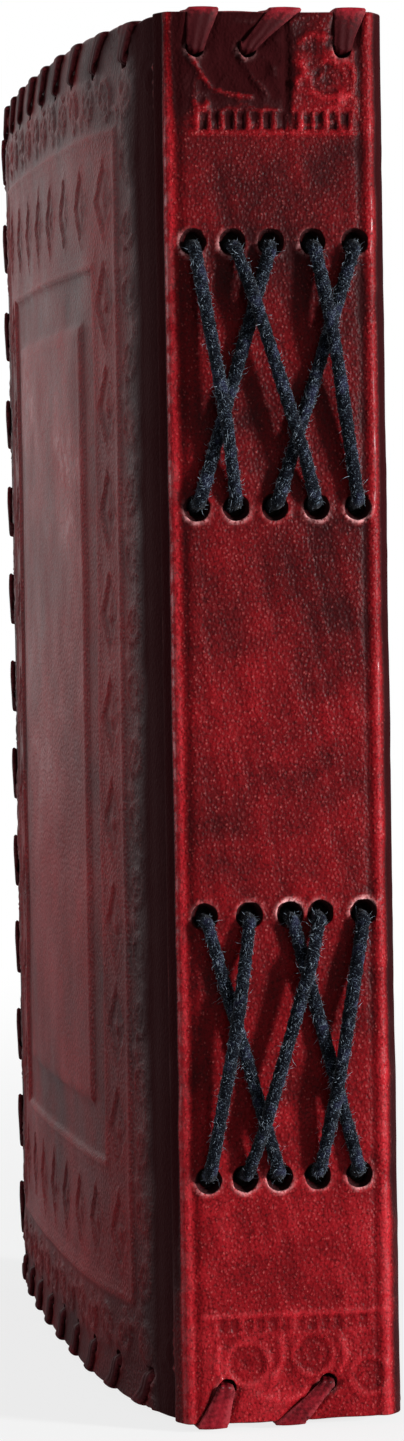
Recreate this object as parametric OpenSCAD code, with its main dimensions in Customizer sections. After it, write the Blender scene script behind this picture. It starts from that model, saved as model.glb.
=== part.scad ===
// A hand-bound leather journal that stands on its tail edge, with its spine facing -Y.
// One hide is folded round five sewn signatures and lined with a thinner leather.
// A flat lace is whipped round every outer edge, and two round cords sew the pages
// to the spine in crossing long stitches. Each cover swings at the crease beside the spine.

/* [Covers] */
// Height of the leather from its tail edge to its head edge
cover_h = 251; // [230:1:280]
// Depth of a cover from its hinge crease to its fore edge
cover_d = 171; // [155:1:190]
// How far a cover swells outwards over the pages
bulge = 5.8; // [3:0.1:7]
// Distance from the hinge crease to the fullest part of a cover
crest_d = 56; // [50:1:80]
// Radius of the two fore edge corners of a cover
corner_r = 11; // [9:1:14]
// Thickness of the outer leather
leather_t = 2; // [1.6:0.1:2.4]
// Thickness of the lining leather
lining_t = 1.2; // [0.9:0.1:1.5]

/* [Spine] */
// Width of the spine over its two folds
spine_w = 42; // [40.5:0.5:46]
// Outer radius of the fold down each side of the spine
fold_r = 5; // [4.5:0.5:5.5]
// Depth of the spine from its outer face to the hinge creases
spine_d = 7; // [6.5:0.5:8]
// Thickness of the stiffening strip between the spine leather and its lining
strip_t = 1.5; // [1.2:0.1:1.8]
// Slit that each hinge crease leaves between the spine and a cover
crease_gap = 0.3; // [0.2:0.05:0.4]

/* [Pages] */
// Distance from the lace holes to the head and tail edges of the pages
end_clear = 5; // [4.5:0.5:16]
// Distance from the lace holes to the fore edge of the pages
fore_clear = 4.5; // [4:0.5:24]
// Clearance between the pages and the leather round them
pages_gap = 0.3; // [0.2:0.05:0.5]

/* [Sewing] */
// Diameter of the sewing cord
cord_d = 2.5; // [2:0.1:2.8]
// Diameter of the holes punched through the spine leather
sewing_hole_d = 4.2; // [4:0.1:4.6]
// Height of each band of crossing stitches
stitch_h = 47; // [40:0.5:52]
// Height between the middles of the two bands of stitches
stitch_apart = 119.5; // [105:0.5:130]
// Height of the middle of the sewing above the middle of the cover
stitch_raise = 1.5; // [-2:0.5:3]

/* [Lacing] */
// Width of the lace along the edge that it is whipped round
lace_w = 5.5; // [4.5:0.1:6.5]
// Thickness of the lace
lace_t = 1.2; // [1:0.1:1.4]
// Diameter of the holes that the lace goes through
lace_hole_d = 3.4; // [3.2:0.1:3.8]
// Distance from the edge of the leather to the lace holes
lace_inset = 6.5; // [5.5:0.25:8]
// Distance from one lace hole to the next
lace_pitch = 18.8; // [15:0.1:24]
// How far a wrap leans along the edge on the outer face
lace_lean = 6.5; // [4:0.5:8]
// Distance from the hinge crease to the first lace hole along the head edge of a cover
lace_first = 13; // [12:0.5:16]
// Distance from the last lace hole to the hinge crease along the tail edge of a cover
lace_last = 10; // [9:0.5:14]
// Clearance between the lace and the leather
lace_gap = 0.2; // [0.15:0.05:0.3]

/* [Pressed pattern] */
// Height of the raised parts of the pressed pattern
relief = 0.5; // [0.3:0.1:0.8]
// Width of the scroll border, from the edge to the first line
border_w = 18; // [17:0.5:20]
// Width of the raised line on each side of the row of lozenges
line_w = 1.4; // [1:0.1:2]
// Width of the row of lozenges along the sides of a cover
side_band_w = 13; // [12:0.5:15]
// Height of the row of lozenges along the head and tail of a cover
end_band_w = 22; // [20:0.5:24]
// Width of the sunken band round the plain centre panel
sunk_band_w = 9.5; // [8:0.5:12]
// Size of a lozenge
lozenge = [10, 16]; // [6:0.5:20]
// Spacing of the lozenges up a side of a cover
lozenge_pitch = 19; // [18:0.5:24]
// Spacing of the lozenges along the head and tail of a cover
end_lozenge_pitch = 16; // [13:0.5:20]
// Radius of a scroll of the border
scroll_r = 3.2; // [2.6:0.1:3.6]
// Spacing of the scrolls of the border
scroll_pitch = 12; // [10:0.5:16]
// Gap between the scrolls and the first line
scroll_gap = 1.1; // [0.8:0.1:2]
// Width of the band of small teeth across the spine
tooth_band_w = 3.4; // [2.5:0.1:4]
// Spacing of the small teeth
tooth_pitch = 2.2; // [1.8:0.1:3]

/* [Hidden] */

// The whole cover stands on the lace under its tail edge.
lace_out = lace_gap + lace_t;
lace_mid = lace_gap + lace_t / 2;
tail_z = lace_out;
head_z = tail_z + cover_h;
middle_z = tail_z + cover_h / 2;

// Plan of the covers: two arcs that meet at the crest, on the +X side of the book.
half_w = spine_w / 2;
fore_y = spine_d + cover_d;
crest_y = spine_d + crest_d;
crest_x = half_w + bulge;
rest_d = cover_d - crest_d;
near_r = (crest_d * crest_d + bulge * bulge) / (2 * bulge);
far_r = (rest_d * rest_d + bulge * bulge) / (2 * bulge);
cover_t = leather_t + lining_t;
spine_t = leather_t + strip_t + lining_t;
spine_half = half_w - crease_gap;
flat_half = spine_half - fold_r;
near_fn = 360;
far_fn = 720;
// How far past the book the cutting shapes run.
over_run = 50;
side_reach = crest_x + over_run;

// Pages and sewing.
// What the backs of the pages are narrower than the pocket of the folded spine, a side.
pages_ease = 0.2;
cord_r = cord_d / 2;
cord_gap = 0.1;
cord_y = -(cord_r + cord_gap);
over_y = cord_y - cord_d - cord_gap;
signatures = 5;
pages_back = spine_t + pages_gap;
pages_half = spine_half - cover_t - pages_gap - pages_ease;
pages_h = cover_h - 2 * (lace_inset + end_clear);
pages_d = fore_y - lace_inset - fore_clear - pages_back;
signature_w = 2 * pages_half / signatures;
inside_y = pages_back + signature_w / 2 + cord_r;
page_hole_r = cord_r + 0.35;
// Radius of the room for the cord inside the fold of a signature.
page_run_r = cord_r + 0.5;
// What the two ends of that room stop short of the holes' middles.
run_ease = 0.2;
// How far behind its widest line the round back of a signature is centred.
fold_lift = 1.2;
lining_hole_r = cord_r + 0.65;
// Sideways wander of the five holes in each row, from the top row to the bottom one.
row_wander = [
    [-1.3, -1.0, -0.8, 0, 0.9],
    [-1.3, -1.0, -0.8, 0, 0.7],
    [-1.2, 0.2, 0.8, -0.5, 0.6],
    [-1.2, -1.3, -1.8, -1.7, -0.8]
];
// The lower hole that each upper hole's stitch crosses to, in the upper and the lower band.
upper_joins = [1, 3, 0, 4, 2];
lower_joins = [2, 0, 4, 1, 3];
cord_sides = 8;

// The book stands with the middle of its base on the origin.
shift_y = -(fore_y + lace_out + over_y - cord_r) / 2;

// Colours as the photograph shows them.
red = [0.47, 0.05, 0.08];
lace_red = [0.55, 0.07, 0.12];
suede = [0.36, 0.14, 0.11];
card = [0.55, 0.38, 0.25];
paper = [0.87, 0.82, 0.70];
navy = [0.10, 0.13, 0.19];

// A number between a and b.
function between(a, b, t) = a + (b - a) * t;
// A vector of length 1.
function unit(v) = v / norm(v);

// A straight round bar between two points, for bores that lie at any angle.
module rod(p, q, r) {
    d = q - p;
    translate(p)
        rotate([0, acos(d.z / norm(d)), atan2(d.y, d.x)])
            cylinder(r = r, h = norm(d), $fn = 32);
}

// How far out a cover's outer surface lies at depth y, plus n outside it.
function face_x(y, n) =
    let (r = y < crest_y ? near_r : far_r)
    crest_x - r + sqrt((r + n) * (r + n) - (y - crest_y) * (y - crest_y));

// Plan of a layer of a cover between two offsets from its outer surface.
module cover_plan(n0, n1) {
    y0 = spine_d + crease_gap / 2;
    y1 = fore_y + corner_r;
    intersection() {
        translate([crest_x - near_r, crest_y])
            difference() {
                circle(r = near_r + n1, $fn = near_fn);
                circle(r = near_r + n0, $fn = near_fn);
            }
        translate([0, y0]) square([side_reach, crest_y - y0]);
    }
    intersection() {
        translate([crest_x - far_r, crest_y])
            difference() {
                circle(r = far_r + n1, $fn = far_fn);
                circle(r = far_r + n0, $fn = far_fn);
            }
        translate([0, crest_y]) square([side_reach, y1 - crest_y]);
    }
}

// Outline of a cover seen from outside, y across and z up, with its two round corners.
module cover_outline() {
    y0 = spine_d;
    translate([y0, tail_z]) square([cover_d - corner_r, cover_h]);
    translate([y0, tail_z + corner_r]) square([cover_d, cover_h - 2 * corner_r]);
    for (z = [tail_z + corner_r, head_z - corner_r])
        translate([fore_y - corner_r, z]) circle(r = corner_r, $fn = 64);
}

// Stands a flat outline in y and z up and carries it along +X.
module across() {
    rotate([90, 0, 90]) linear_extrude(height = side_reach) children();
}

// One layer of a cover, trimmed to its outline and punched for the lace.
module cover_layer(n0, n1) {
    difference() {
        intersection() {
            linear_extrude(height = head_z + lace_out) cover_plan(n0, n1);
            across() cover_outline();
        }
        lace_holes();
    }
}

// Bores for the lace, straight through a cover.
module lace_holes() {
    for (i = [0 : lace_count - 1])
        let (yz = edge_yz(lace_u(i), lace_inset))
        rod([0, yz[0], yz[1]], [side_reach, yz[0], yz[1]], lace_hole_d / 2);
}

// Edge of a cover, followed from the head end of the crease to the tail end of it.
straight_d = cover_d - corner_r;
corner_len = corner_r * PI / 2;
fore_len = cover_h - 2 * corner_r;
edge_len = 2 * straight_d + 2 * corner_len + fore_len;
lace_span = edge_len - lace_first - lace_last;
lace_count = round(lace_span / lace_pitch) + 1;
lace_step = lace_span / (lace_count - 1);
function lace_u(i) = lace_first + lace_step * i;
// Number of lace holes along the head edge, and along the head and fore edges.
head_count = floor((straight_d + corner_len / 2 - lace_first) / lace_step) + 1;
fore_count = floor((straight_d + 1.5 * corner_len + fore_len - lace_first) / lace_step) + 1;
// What a flat lace stands off a round corner, so that its middle clears the leather.
corner_ease = lace_w * lace_w / (8 * corner_r);

// The lace in a hole: its width and thickness as shares of the hole's diameter, how far
// it stands up at the mouth, and how far towards the edge it comes out and lies flat.
squeeze = [0.7, 0.5];
mouth_lift = 0.3;
mouth_in = 0.6;
flat_in = 2.4;
// Share of the lace's full width that it has gained at the mouth.
mouth_share = 0.25;
// Where the lace starts to turn over the edge, its ease round the turn, and how far
// inside the two faces it runs straight across the edge.
turn_in = 0.5;
turn_ease = 0.1;
face_in = 0.4;
// How far in the last wrap ends behind, as a share of the inset of the holes.
tuck_share = 0.4;
// Share of the way back to the hinge that the wrap beside it leans, and its way on behind.
hinge_lean = 0.35;
hinge_on = 1;

// Point at distance u along a cover's edge, w in from the edge, as [y, z].
function edge_yz(u, w) =
    let (
        out = corner_r - w + (w < 0 ? corner_ease : 0),
        middle_y = spine_d + straight_d,
        after_head = u - straight_d,
        after_fore = after_head - corner_len - fore_len
    )
    after_head < 0 ? [spine_d + u, head_z - w]
    : after_head < corner_len ?
        let (a = 90 - after_head / corner_r * 180 / PI)
        [middle_y + out * cos(a), head_z - corner_r + out * sin(a)]
    : after_fore < 0 ? [fore_y - w, tail_z + corner_r - after_fore]
    : after_fore < corner_len ?
        let (a = -after_fore / corner_r * 180 / PI)
        [middle_y + out * cos(a), tail_z + corner_r + out * sin(a)]
    : [spine_d + edge_len - u, tail_z + w];

// The same point in the book, n outside the outer face of the cover.
function lace_point(u, w, n) =
    let (yz = edge_yz(u, w))
    [face_x(yz[0], n), yz[0], yz[1]];

// One wrap of lace as rings [u, w, n, out_w, out_n, width, thickness]. It comes out of
// the hole at u, leans along the outer face, turns over the edge and goes back behind.
// go is +1 or -1, the way along the edge; gone is how far on the next hole lies. The
// last wrap of a lace stops short behind, where its end is tucked in.
function wrap_rings(u, go, lean, gone, t, last = false) =
    let (
        pinch_w = lace_hole_d * squeeze[0],
        pinch_t = lace_hole_d * squeeze[1],
        turn = sqrt(0.5),
        round_off = lace_mid * turn + turn_ease,
        mouth = lace_mid + mouth_lift,
        mouth_w = between(pinch_w, lace_w, mouth_share),
        foot = lace_inset - mouth_in,
        slope = lace_inset - flat_in,
        tuck = lace_inset * tuck_share,
        rise = lace_inset + lace_mid,
        front = function (w) u + go * lean * (lace_inset - w) / rise,
        rear = function (w) u + go * between(lean, gone, (w + lace_mid) / rise)
    )
    [
        [u, lace_inset, -t, 1, 0, pinch_w, pinch_t],
        [u, lace_inset, -mouth_lift, 1, 0, pinch_w, pinch_t],
        [front(foot), foot, mouth, turn, turn, mouth_w, lace_t],
        [front(slope), slope, lace_mid, 0, 1, lace_w, lace_t],
        [front(turn_in), turn_in, lace_mid, 0, 1, lace_w, lace_t],
        [front(-turn_in), -round_off, round_off, -turn, turn, lace_w, lace_t],
        [front(-lace_mid), -lace_mid, -face_in, -1, 0, lace_w, lace_t],
        [front(-lace_mid), -lace_mid, face_in - t, -1, 0, lace_w, lace_t],
        [rear(-turn_in), -round_off, -t - round_off, -turn, -turn, lace_w, lace_t],
        [rear(turn_in), turn_in, -t - lace_mid, 0, -1, lace_w, lace_t],
        each last ? [
            [rear(tuck), tuck, -t - lace_mid, 0, -1, lace_w, lace_t]
        ] : [
            [rear(slope), slope, -t - lace_mid, 0, -1, lace_w, lace_t],
            [rear(foot), foot, -t - mouth, turn, -turn, mouth_w, lace_t]
        ]
    ];

// The four corners of one ring of lace, laid in the book by the function place.
function ring_corners(ring, place) =
    [
        for (k = [[-1, -1], [1, -1], [1, 1], [-1, 1]])
            place(
                ring[0] + k[0] * ring[5] / 2,
                ring[1] + k[1] * ring[3] * ring[6] / 2,
                ring[2] + k[1] * ring[4] * ring[6] / 2
            )
    ];

// Triangles of a skin over rings of the same number of points, one ring after another.
function skin_faces(rings, sides, closed = false) =
    let (steps = closed ? rings : rings - 1)
    concat(
        [
            for (i = [0 : steps - 1], j = [0 : sides - 1])
                let (
                    a = i * sides + j,
                    b = i * sides + (j + 1) % sides,
                    c = ((i + 1) % rings) * sides + (j + 1) % sides,
                    d = ((i + 1) % rings) * sides + j
                )
                each [[a, c, b], [a, d, c]]
        ],
        closed ? [] : [
            [for (j = [0 : sides - 1]) j],
            [for (j = [sides - 1 : -1 : 0]) (rings - 1) * sides + j]
        ]
    );

// Rings of lace as one flat strip, its skin turned round where place mirrors it.
module ribbon(rings, place, mirrors) {
    points = [for (ring = rings) each ring_corners(ring, place)];
    faces = skin_faces(len(rings), 4);
    polyhedron(
        points = points,
        faces = mirrors ? [for (f = faces) [for (k = [len(f) - 1 : -1 : 0]) f[k]]] : faces,
        convexity = 10
    );
}

// Lace along part of a cover's edge, through the holes numbered first to last.
// The wrap beside the hinge leans less, so that it stays on the cover.
module cover_lace(first, last, go) {
    i0 = go > 0 ? first : last;
    rings = [
        for (k = [0 : last - first])
            let (
                i = i0 + go * k,
                hinge_end = (go > 0 && i == lace_count - 1) || (go < 0 && i == 0),
                lean = hinge_end ? min(lace_lean, lace_last * hinge_lean) : lace_lean
            )
            each wrap_rings(
                lace_u(i), go, lean, hinge_end ? lean + hinge_on : lace_step, cover_t, hinge_end
            )
    ];
    color(lace_red) ribbon(rings, function (u, w, n) lace_point(u, w, n), true);
}

// Lace over the head edge or the tail edge of the spine, through holes at the given x.
module spine_lace(holes, leans, head) {
    go = head ? 1 : -1;
    edge_z = head ? head_z : tail_z;
    rings = [
        for (i = [0 : len(holes) - 1])
            let (last = i == len(holes) - 1)
            each wrap_rings(
                holes[i], go, leans[i],
                last ? leans[i] : abs(holes[i + 1] - holes[i]),
                spine_t, last
            )
    ];
    color(lace_red) ribbon(rings, function (u, w, n) [u, -n, edge_z - go * w], head);
}

// Lace holes in the spine, from left to right at the head and right to left at the tail.
// The wraps beside the folds lean less, so that they stay on the flat of the spine.
head_inner_x = -4.5;
tail_inner_x = 6.5;
side_ease = [0.1, 0.2, 0.3];
head_lean = 1.5;
tail_lean = 2.5;
head_holes = [
    -flat_half + lace_hole_d / 2 + side_ease[0],
    head_inner_x,
    flat_half - lace_w / 2 - side_ease[1]
];
head_leans = [head_lean, lace_lean, head_lean];
tail_holes = [tail_inner_x, -flat_half + lace_hole_d + side_ease[2]];
tail_leans = [lace_lean, tail_lean];

// Bores for the lace at the head and the tail of the spine.
module spine_lace_holes() {
    for (x = head_holes)
        rod([x, -1, head_z - lace_inset], [x, spine_t + 1, head_z - lace_inset], lace_hole_d / 2);
    for (x = tail_holes)
        rod([x, -1, tail_z + lace_inset], [x, spine_t + 1, tail_z + lace_inset], lace_hole_d / 2);
}

// Places of the sewing holes: column i in row 0 to 3, counted down from the head.
function column_x(i, row) = (i - (signatures - 1) / 2) * signature_w + row_wander[row][i];
function row_z(row) =
    middle_z + stitch_raise
    + (row < 2 ? 1 : -1) * stitch_apart / 2
    + (row % 2 == 0 ? 1 : -1) * stitch_h / 2;

// Bores for the sewing, from y0 to y1, over the whole spine.
module sewing_holes(r, y0, y1) {
    for (row = [0 : 3], i = [0 : signatures - 1])
        rod([column_x(i, row), y0, row_z(row)], [column_x(i, row), y1, row_z(row)], r);
}

// Plan of the folded spine leather's outside, drawn in by the given offset.
module spine_plan(inset) {
    half = spine_half - inset;
    hinge_y = spine_d - crease_gap / 2;
    intersection() {
        union() {
            for (side = [-1, 1])
                translate([side * flat_half, fold_r]) circle(r = fold_r - inset, $fn = 64);
            translate([-flat_half, inset]) square([2 * flat_half, fold_r]);
            translate([-half, fold_r]) square([2 * half, fold_r]);
        }
        translate([-half, inset]) square([2 * half, hinge_y - inset]);
    }
}

// Distance from an edge of the leather to the middles of the scrolls along it.
scroll_inset = border_w - scroll_gap - line_w / 2 - scroll_r;
// Share of its pitch that a small tooth fills.
tooth_share = 0.55;

// Raised pattern of the spine, in x and z: a band of teeth and scrolls at each end.
module spine_pattern() {
    teeth = floor(2 * flat_half / tooth_pitch);
    scroll_step = 2 * flat_half / 3;
    for (end = [0, 1])
        translate([0, end * (2 * tail_z + cover_h)])
            scale([1, end == 0 ? 1 : -1]) {
                for (i = [0 : teeth - 1])
                    translate([(i - (teeth - 1) / 2) * tooth_pitch, tail_z + border_w + tooth_band_w / 2])
                        square([tooth_pitch * tooth_share, tooth_band_w], center = true);
                translate([0, tail_z + border_w + tooth_band_w + line_w / 2])
                    square([2 * flat_half, line_w / 2], center = true);
                for (i = [-1 : 1])
                    translate([i * scroll_step, tail_z + scroll_inset]) scroll(scroll_r);
            }
}

// One scroll of the border: an open ring round a small round boss.
module scroll(r) {
    difference() {
        circle(r = r + line_w / 2, $fn = 32);
        circle(r = r - line_w / 2, $fn = 32);
        translate([r / 2, -r * 1.5]) square([r, r * 1.5]);
    }
    circle(r = r / 3, $fn = 24);
}

// Keeps a length that is a whole number of steps from losing one of them.
rounding = 0.001;

// Raised pattern of a cover, in y and z: scrolls, lines, lozenges and the centre panel.
module cover_pattern() {
    y0 = spine_d;
    b0 = border_w;
    b1 = b0 + line_w;
    side1 = b1 + side_band_w;
    end1 = b1 + end_band_w;
    side2 = side1 + line_w + sunk_band_w;
    end2 = end1 + line_w + sunk_band_w;
    frame_ring(b0, b0, line_w);
    frame_ring(side1, end1, line_w);
    inset_rect(side2, end2);
    loz_y = b1 + side_band_w / 2;
    loz_z = b1 + end_band_w / 2;
    rows = floor((cover_h - 2 * loz_z) / lozenge_pitch + rounding);
    row_step = (cover_h - 2 * loz_z) / rows;
    wide = cover_d - 2 * loz_y;
    cols = floor(wide / end_lozenge_pitch);
    for (side = [0, 1], i = [0 : rows])
        translate([y0 + (side == 0 ? loz_y : cover_d - loz_y), tail_z + loz_z + i * row_step])
            diamond(lozenge.x, lozenge.y);
    for (end = [0, 1], i = [1 : cols - 1])
        translate([y0 + loz_y + wide * i / cols, tail_z + (end == 0 ? loz_z : cover_h - loz_z)])
            diamond(lozenge.x, lozenge.y);
    ups = floor((cover_h - 2 * scroll_inset) / scroll_pitch);
    overs = floor((cover_d - 2 * scroll_inset) / scroll_pitch);
    for (side = [0, 1], i = [0 : ups])
        translate([
            y0 + (side == 0 ? scroll_inset : cover_d - scroll_inset),
            tail_z + scroll_inset + (cover_h - 2 * scroll_inset) * i / ups
        ])
            rotate(i % 2 * 180) scroll(scroll_r);
    for (end = [0, 1], i = [1 : overs - 1])
        translate([
            y0 + scroll_inset + (cover_d - 2 * scroll_inset) * i / overs,
            tail_z + (end == 0 ? scroll_inset : cover_h - scroll_inset)
        ])
            rotate(i % 2 * 180) scroll(scroll_r);
}

// A lozenge of the given width and height round the origin.
module diamond(w, h) {
    polygon([[-w / 2, 0], [0, -h / 2], [w / 2, 0], [0, h / 2]]);
}

// Rectangle drawn in from the outline of a cover by different amounts at sides and ends.
module inset_rect(side, end) {
    translate([spine_d + side, tail_z + end])
        square([cover_d - 2 * side, cover_h - 2 * end]);
}

// A line of width w that runs round a cover, inside the given insets.
module frame_ring(side, end, w) {
    difference() {
        inset_rect(side, end);
        inset_rect(side + w, end + w);
    }
}

module spine_leather() {
    color(red)
        difference() {
            union() {
                translate([0, 0, tail_z])
                    linear_extrude(height = cover_h)
                        difference() {
                            spine_plan(0);
                            spine_plan_inside();
                        }
                translate([0, leather_t / 2, 0])
                    rotate([90, 0, 0])
                        linear_extrude(height = leather_t / 2 + relief) spine_pattern();
            }
            sewing_holes(sewing_hole_d / 2, -over_run, spine_t);
            spine_lace_holes();
        }
}

// Room inside the folded spine leather, left open towards the pages.
module spine_plan_inside() {
    spine_plan(leather_t);
    translate([-spine_half + leather_t, fold_r])
        square([2 * (spine_half - leather_t), spine_d]);
}

module spine_strip() {
    color(card)
        difference() {
            translate([0, 0, tail_z])
                linear_extrude(height = cover_h)
                    intersection() {
                        spine_plan(leather_t);
                        translate([-half_w, leather_t]) square([spine_w, strip_t]);
                    }
            sewing_holes(sewing_hole_d / 2, 0, spine_t);
            spine_lace_holes();
        }
}

module spine_lining() {
    pocket = spine_half - cover_t;
    color(suede)
        difference() {
            translate([0, 0, tail_z])
                linear_extrude(height = cover_h)
                    difference() {
                        intersection() {
                            spine_plan(leather_t);
                            translate([-half_w, leather_t + strip_t]) square([spine_w, spine_d]);
                        }
                        translate([-pocket, spine_t]) square([2 * pocket, spine_d]);
                    }
            sewing_holes(lining_hole_r, 0, spine_t + 1);
            spine_lace_holes();
        }
}

// Plan of the pages: five round-backed signatures that swell to fill the covers.
module pages_plan() {
    fold_round = norm([signature_w / 2, fold_lift]);
    back = pages_back + fold_round - fold_lift;
    front = pages_back + pages_d - signature_w / 4;
    inset = cover_t + pages_gap;
    intersection() {
        union() {
            for (i = [0 : signatures - 1])
                translate([(i - (signatures - 1) / 2) * signature_w, back + fold_lift])
                    circle(r = fold_round, $fn = 48);
            translate([-side_reach, back + fold_lift]) square([2 * side_reach, front - back - 2 * fold_lift]);
            for (i = [0 : signatures - 1])
                translate([(i - (signatures - 1) / 2) * fore_pitch, front - signature_w])
                    circle(r = norm([fore_pitch / 2, signature_w]), $fn = 48);
        }
        union() {
            translate([-pages_half, 0]) square([2 * pages_half, spine_d + pages_gap]);
            intersection() {
                pages_side(near_r, inset);
                mirror([1, 0]) pages_side(near_r, inset);
                translate([-side_reach, spine_d]) square([2 * side_reach, crest_d]);
            }
            intersection() {
                pages_side(far_r, inset);
                mirror([1, 0]) pages_side(far_r, inset);
                translate([-side_reach, crest_y]) square([2 * side_reach, pages_d]);
            }
        }
    }
}

// Pitch of the signatures at the fore edge, where the covers are closest together.
fore_half = face_x(pages_back + pages_d, -cover_t - pages_gap);
fore_pitch = 2 * fore_half / signatures;

// The round of a cover's inner face that the pages lie against.
module pages_side(r, inset) {
    translate([crest_x - r, crest_y]) circle(r = r - inset, $fn = far_fn);
}

module text_block() {
    color(paper)
        difference() {
            translate([0, 0, middle_z - pages_h / 2])
                linear_extrude(height = pages_h) pages_plan();
            sewing_holes(page_hole_r, 0, inside_y + cord_r / 3);
            for (row = [0, 2], i = [0 : signatures - 1])
                rod(
                    [column_x(i, row), inside_y, row_z(row) + page_run_r + run_ease],
                    [column_x(i, row + 1), inside_y, row_z(row + 1) - page_run_r - run_ease],
                    page_run_r
                );
        }
}

// Share of the way down a stitch at which it crosses another stitch of its band.
function crossing(row, joins, i, k) =
    let (
        top = column_x(k, row) - column_x(i, row),
        foot = column_x(joins[k], row + 1) - column_x(joins[i], row + 1)
    )
    top / (top - foot);

// The shares at which stitch i lies over others: those that lean the other way.
function crossings(row, joins, i) =
    [
        for (k = [0 : signatures - 1])
            if ((i - k) * (joins[i] - joins[k]) < 0) crossing(row, joins, i, k)
    ];

// The share of a stitch before a crossing at which it is fully raised, and the least
// share that it rises in.
beside = 0.07;
least_rise = 0.02;

// Height of a stitch off the spine at share t: raised from the first crossing to the last.
function stitch_y(t, from, to, over) =
    !over ? cord_y
    : between(
        cord_y, over_y,
        min(1, t / max(least_rise, from - beside), (1 - t) / max(least_rise, 1 - to - beside))
    );

// How a cord turns in a hole: where it leans to at the pages and in the leather, as
// shares of its way across the hole and of the leather, and where its bend outside ends.
lean_in = 0.3;
depth_in = 0.6;
bend_end = 0.75;
// Points along the run of a stitch on the spine.
run_steps = 8;

// Route of one stitch: out of its upper hole, down the spine, in at the lower hole and
// back up behind the fold of that signature. lean_over picks the stitches that lie on top.
function stitch_route(row, joins, i, lean_over) =
    let (
        j = joins[i],
        a = [column_x(i, row), 0, row_z(row)],
        b = [column_x(j, row + 1), 0, row_z(row + 1)],
        d = unit(b - a),
        lip = sewing_hole_d / 2,
        hug = lip - cord_r - cord_gap / 2,
        bend = cord_r + cord_gap,
        at = crossings(row, joins, i),
        over = len(at) > 0 && (j - i) * lean_over > 0,
        from = len(at) > 0 ? min(at) : 0.5,
        to = len(at) > 0 ? max(at) : 0.5,
        run = norm(b - a) - 2 * lip,
        along = function (p, x, y) [p.x + d.x * x, y, p.z + d.z * x]
    )
    concat(
        [
            [a.x, inside_y - 1, a.z],
            along(a, hug * lean_in, pages_back),
            along(a, hug, leather_t * depth_in),
            along(a, hug, 0),
            along(a, lip - bend * bend_end, -bend * bend_end)
        ],
        [
            for (k = [0 : run_steps])
                along(a, lip + run * k / run_steps, stitch_y(k / run_steps, from, to, over))
        ],
        [
            along(b, bend * bend_end - lip, -bend * bend_end),
            along(b, -hug, 0),
            along(b, -hug, leather_t * depth_in),
            along(b, -hug * lean_in, pages_back),
            [b.x, inside_y - 1, b.z],
            [b.x, inside_y, b.z + 1],
            [column_x(j, row), inside_y, row_z(row) - 1]
        ]
    );

// The upper holes in the order in which the cord comes to them.
function sewing_order(joins, i, count) =
    count == 0 ? [] : concat([i], sewing_order(joins, joins[i], count - 1));

// A band of crossing stitches as one cord that comes back to where it began.
module sewing_cord(row, joins, lean_over) {
    route = [
        for (i = sewing_order(joins, 0, signatures)) each stitch_route(row, joins, i, lean_over)
    ];
    count = len(route);
    points = [
        for (i = [0 : count - 1])
            let (
                t = unit(unit(route[(i + 1) % count] - route[i])
                    + unit(route[i] - route[(i + count - 1) % count])),
                side = unit(cross([1, 0, 0], t)),
                up = cross(t, side)
            )
            for (k = [0 : cord_sides - 1])
                route[i] + cord_r * (cos(k * 360 / cord_sides) * side + sin(k * 360 / cord_sides) * up)
    ];
    color(navy)
        polyhedron(points = points, faces = skin_faces(count, cord_sides, true), convexity = 10);
}

module cover_leather() {
    color(red) {
        difference() {
            union() {
                cover_layer(-leather_t, 0);
                intersection() {
                    linear_extrude(height = head_z + lace_out) cover_plan(-leather_t / 2, relief);
                    across() cover_pattern();
                }
            }
            lace_holes();
        }
    }
}

module cover_lining() {
    color(suede) cover_layer(-cover_t, -leather_t);
}

module front_cover_leather() {
    cover_leather();
}

module front_cover_lining() {
    cover_lining();
}

module front_head_lacing() {
    cover_lace(0, head_count - 1, 1);
}

module front_fore_edge_lacing() {
    cover_lace(head_count, fore_count - 1, 1);
}

module front_tail_lacing() {
    cover_lace(fore_count, lace_count - 1, 1);
}

// The back cover is the front cover's mirror image, apart from the way its lace runs.
module mirrored() {
    mirror([1, 0, 0]) children();
}

module back_cover_leather() {
    mirrored() cover_leather();
}

module back_cover_lining() {
    mirrored() cover_lining();
}

module back_head_lacing() {
    mirrored() cover_lace(0, head_count - 1, -1);
}

module back_fore_edge_lacing() {
    mirrored() cover_lace(head_count, fore_count - 1, -1);
}

module back_tail_lacing() {
    mirrored() cover_lace(fore_count, lace_count - 1, -1);
}

module upper_sewing_cord() {
    sewing_cord(0, upper_joins, 1);
}

module lower_sewing_cord() {
    sewing_cord(2, lower_joins, -1);
}

module spine_head_lacing() {
    spine_lace(head_holes, head_leans, true);
}

module spine_tail_lacing() {
    spine_lace(tail_holes, tail_leans, false);
}

// Moves the book so that the middle of its base is the origin.
module placed() {
    translate([0, shift_y, 0]) children();
}

placed() spine_leather();
placed() spine_strip();
placed() spine_lining();
placed() text_block();
placed() upper_sewing_cord();
placed() lower_sewing_cord();
placed() spine_head_lacing();
placed() spine_tail_lacing();
placed() front_cover_leather();
placed() front_cover_lining();
placed() front_head_lacing();
placed() front_fore_edge_lacing();
placed() front_tail_lacing();
placed() back_cover_leather();
placed() back_cover_lining();
placed() back_head_lacing();
placed() back_fore_edge_lacing();
placed() back_tail_lacing();
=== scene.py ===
"""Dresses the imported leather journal: pressed hides, whipped lace, sewing cord and pages.

Sizes are in millimetres in the book's own frame, where y = 0 is the outer face of the spine,
+x is the front cover and z runs up from the base. Shell.write turns them into metres in the
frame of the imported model.
"""

import logging
import math
from dataclasses import dataclass
from enum import Enum
from typing import Callable

import bpy
import numpy as np
from mathutils import Matrix

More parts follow.
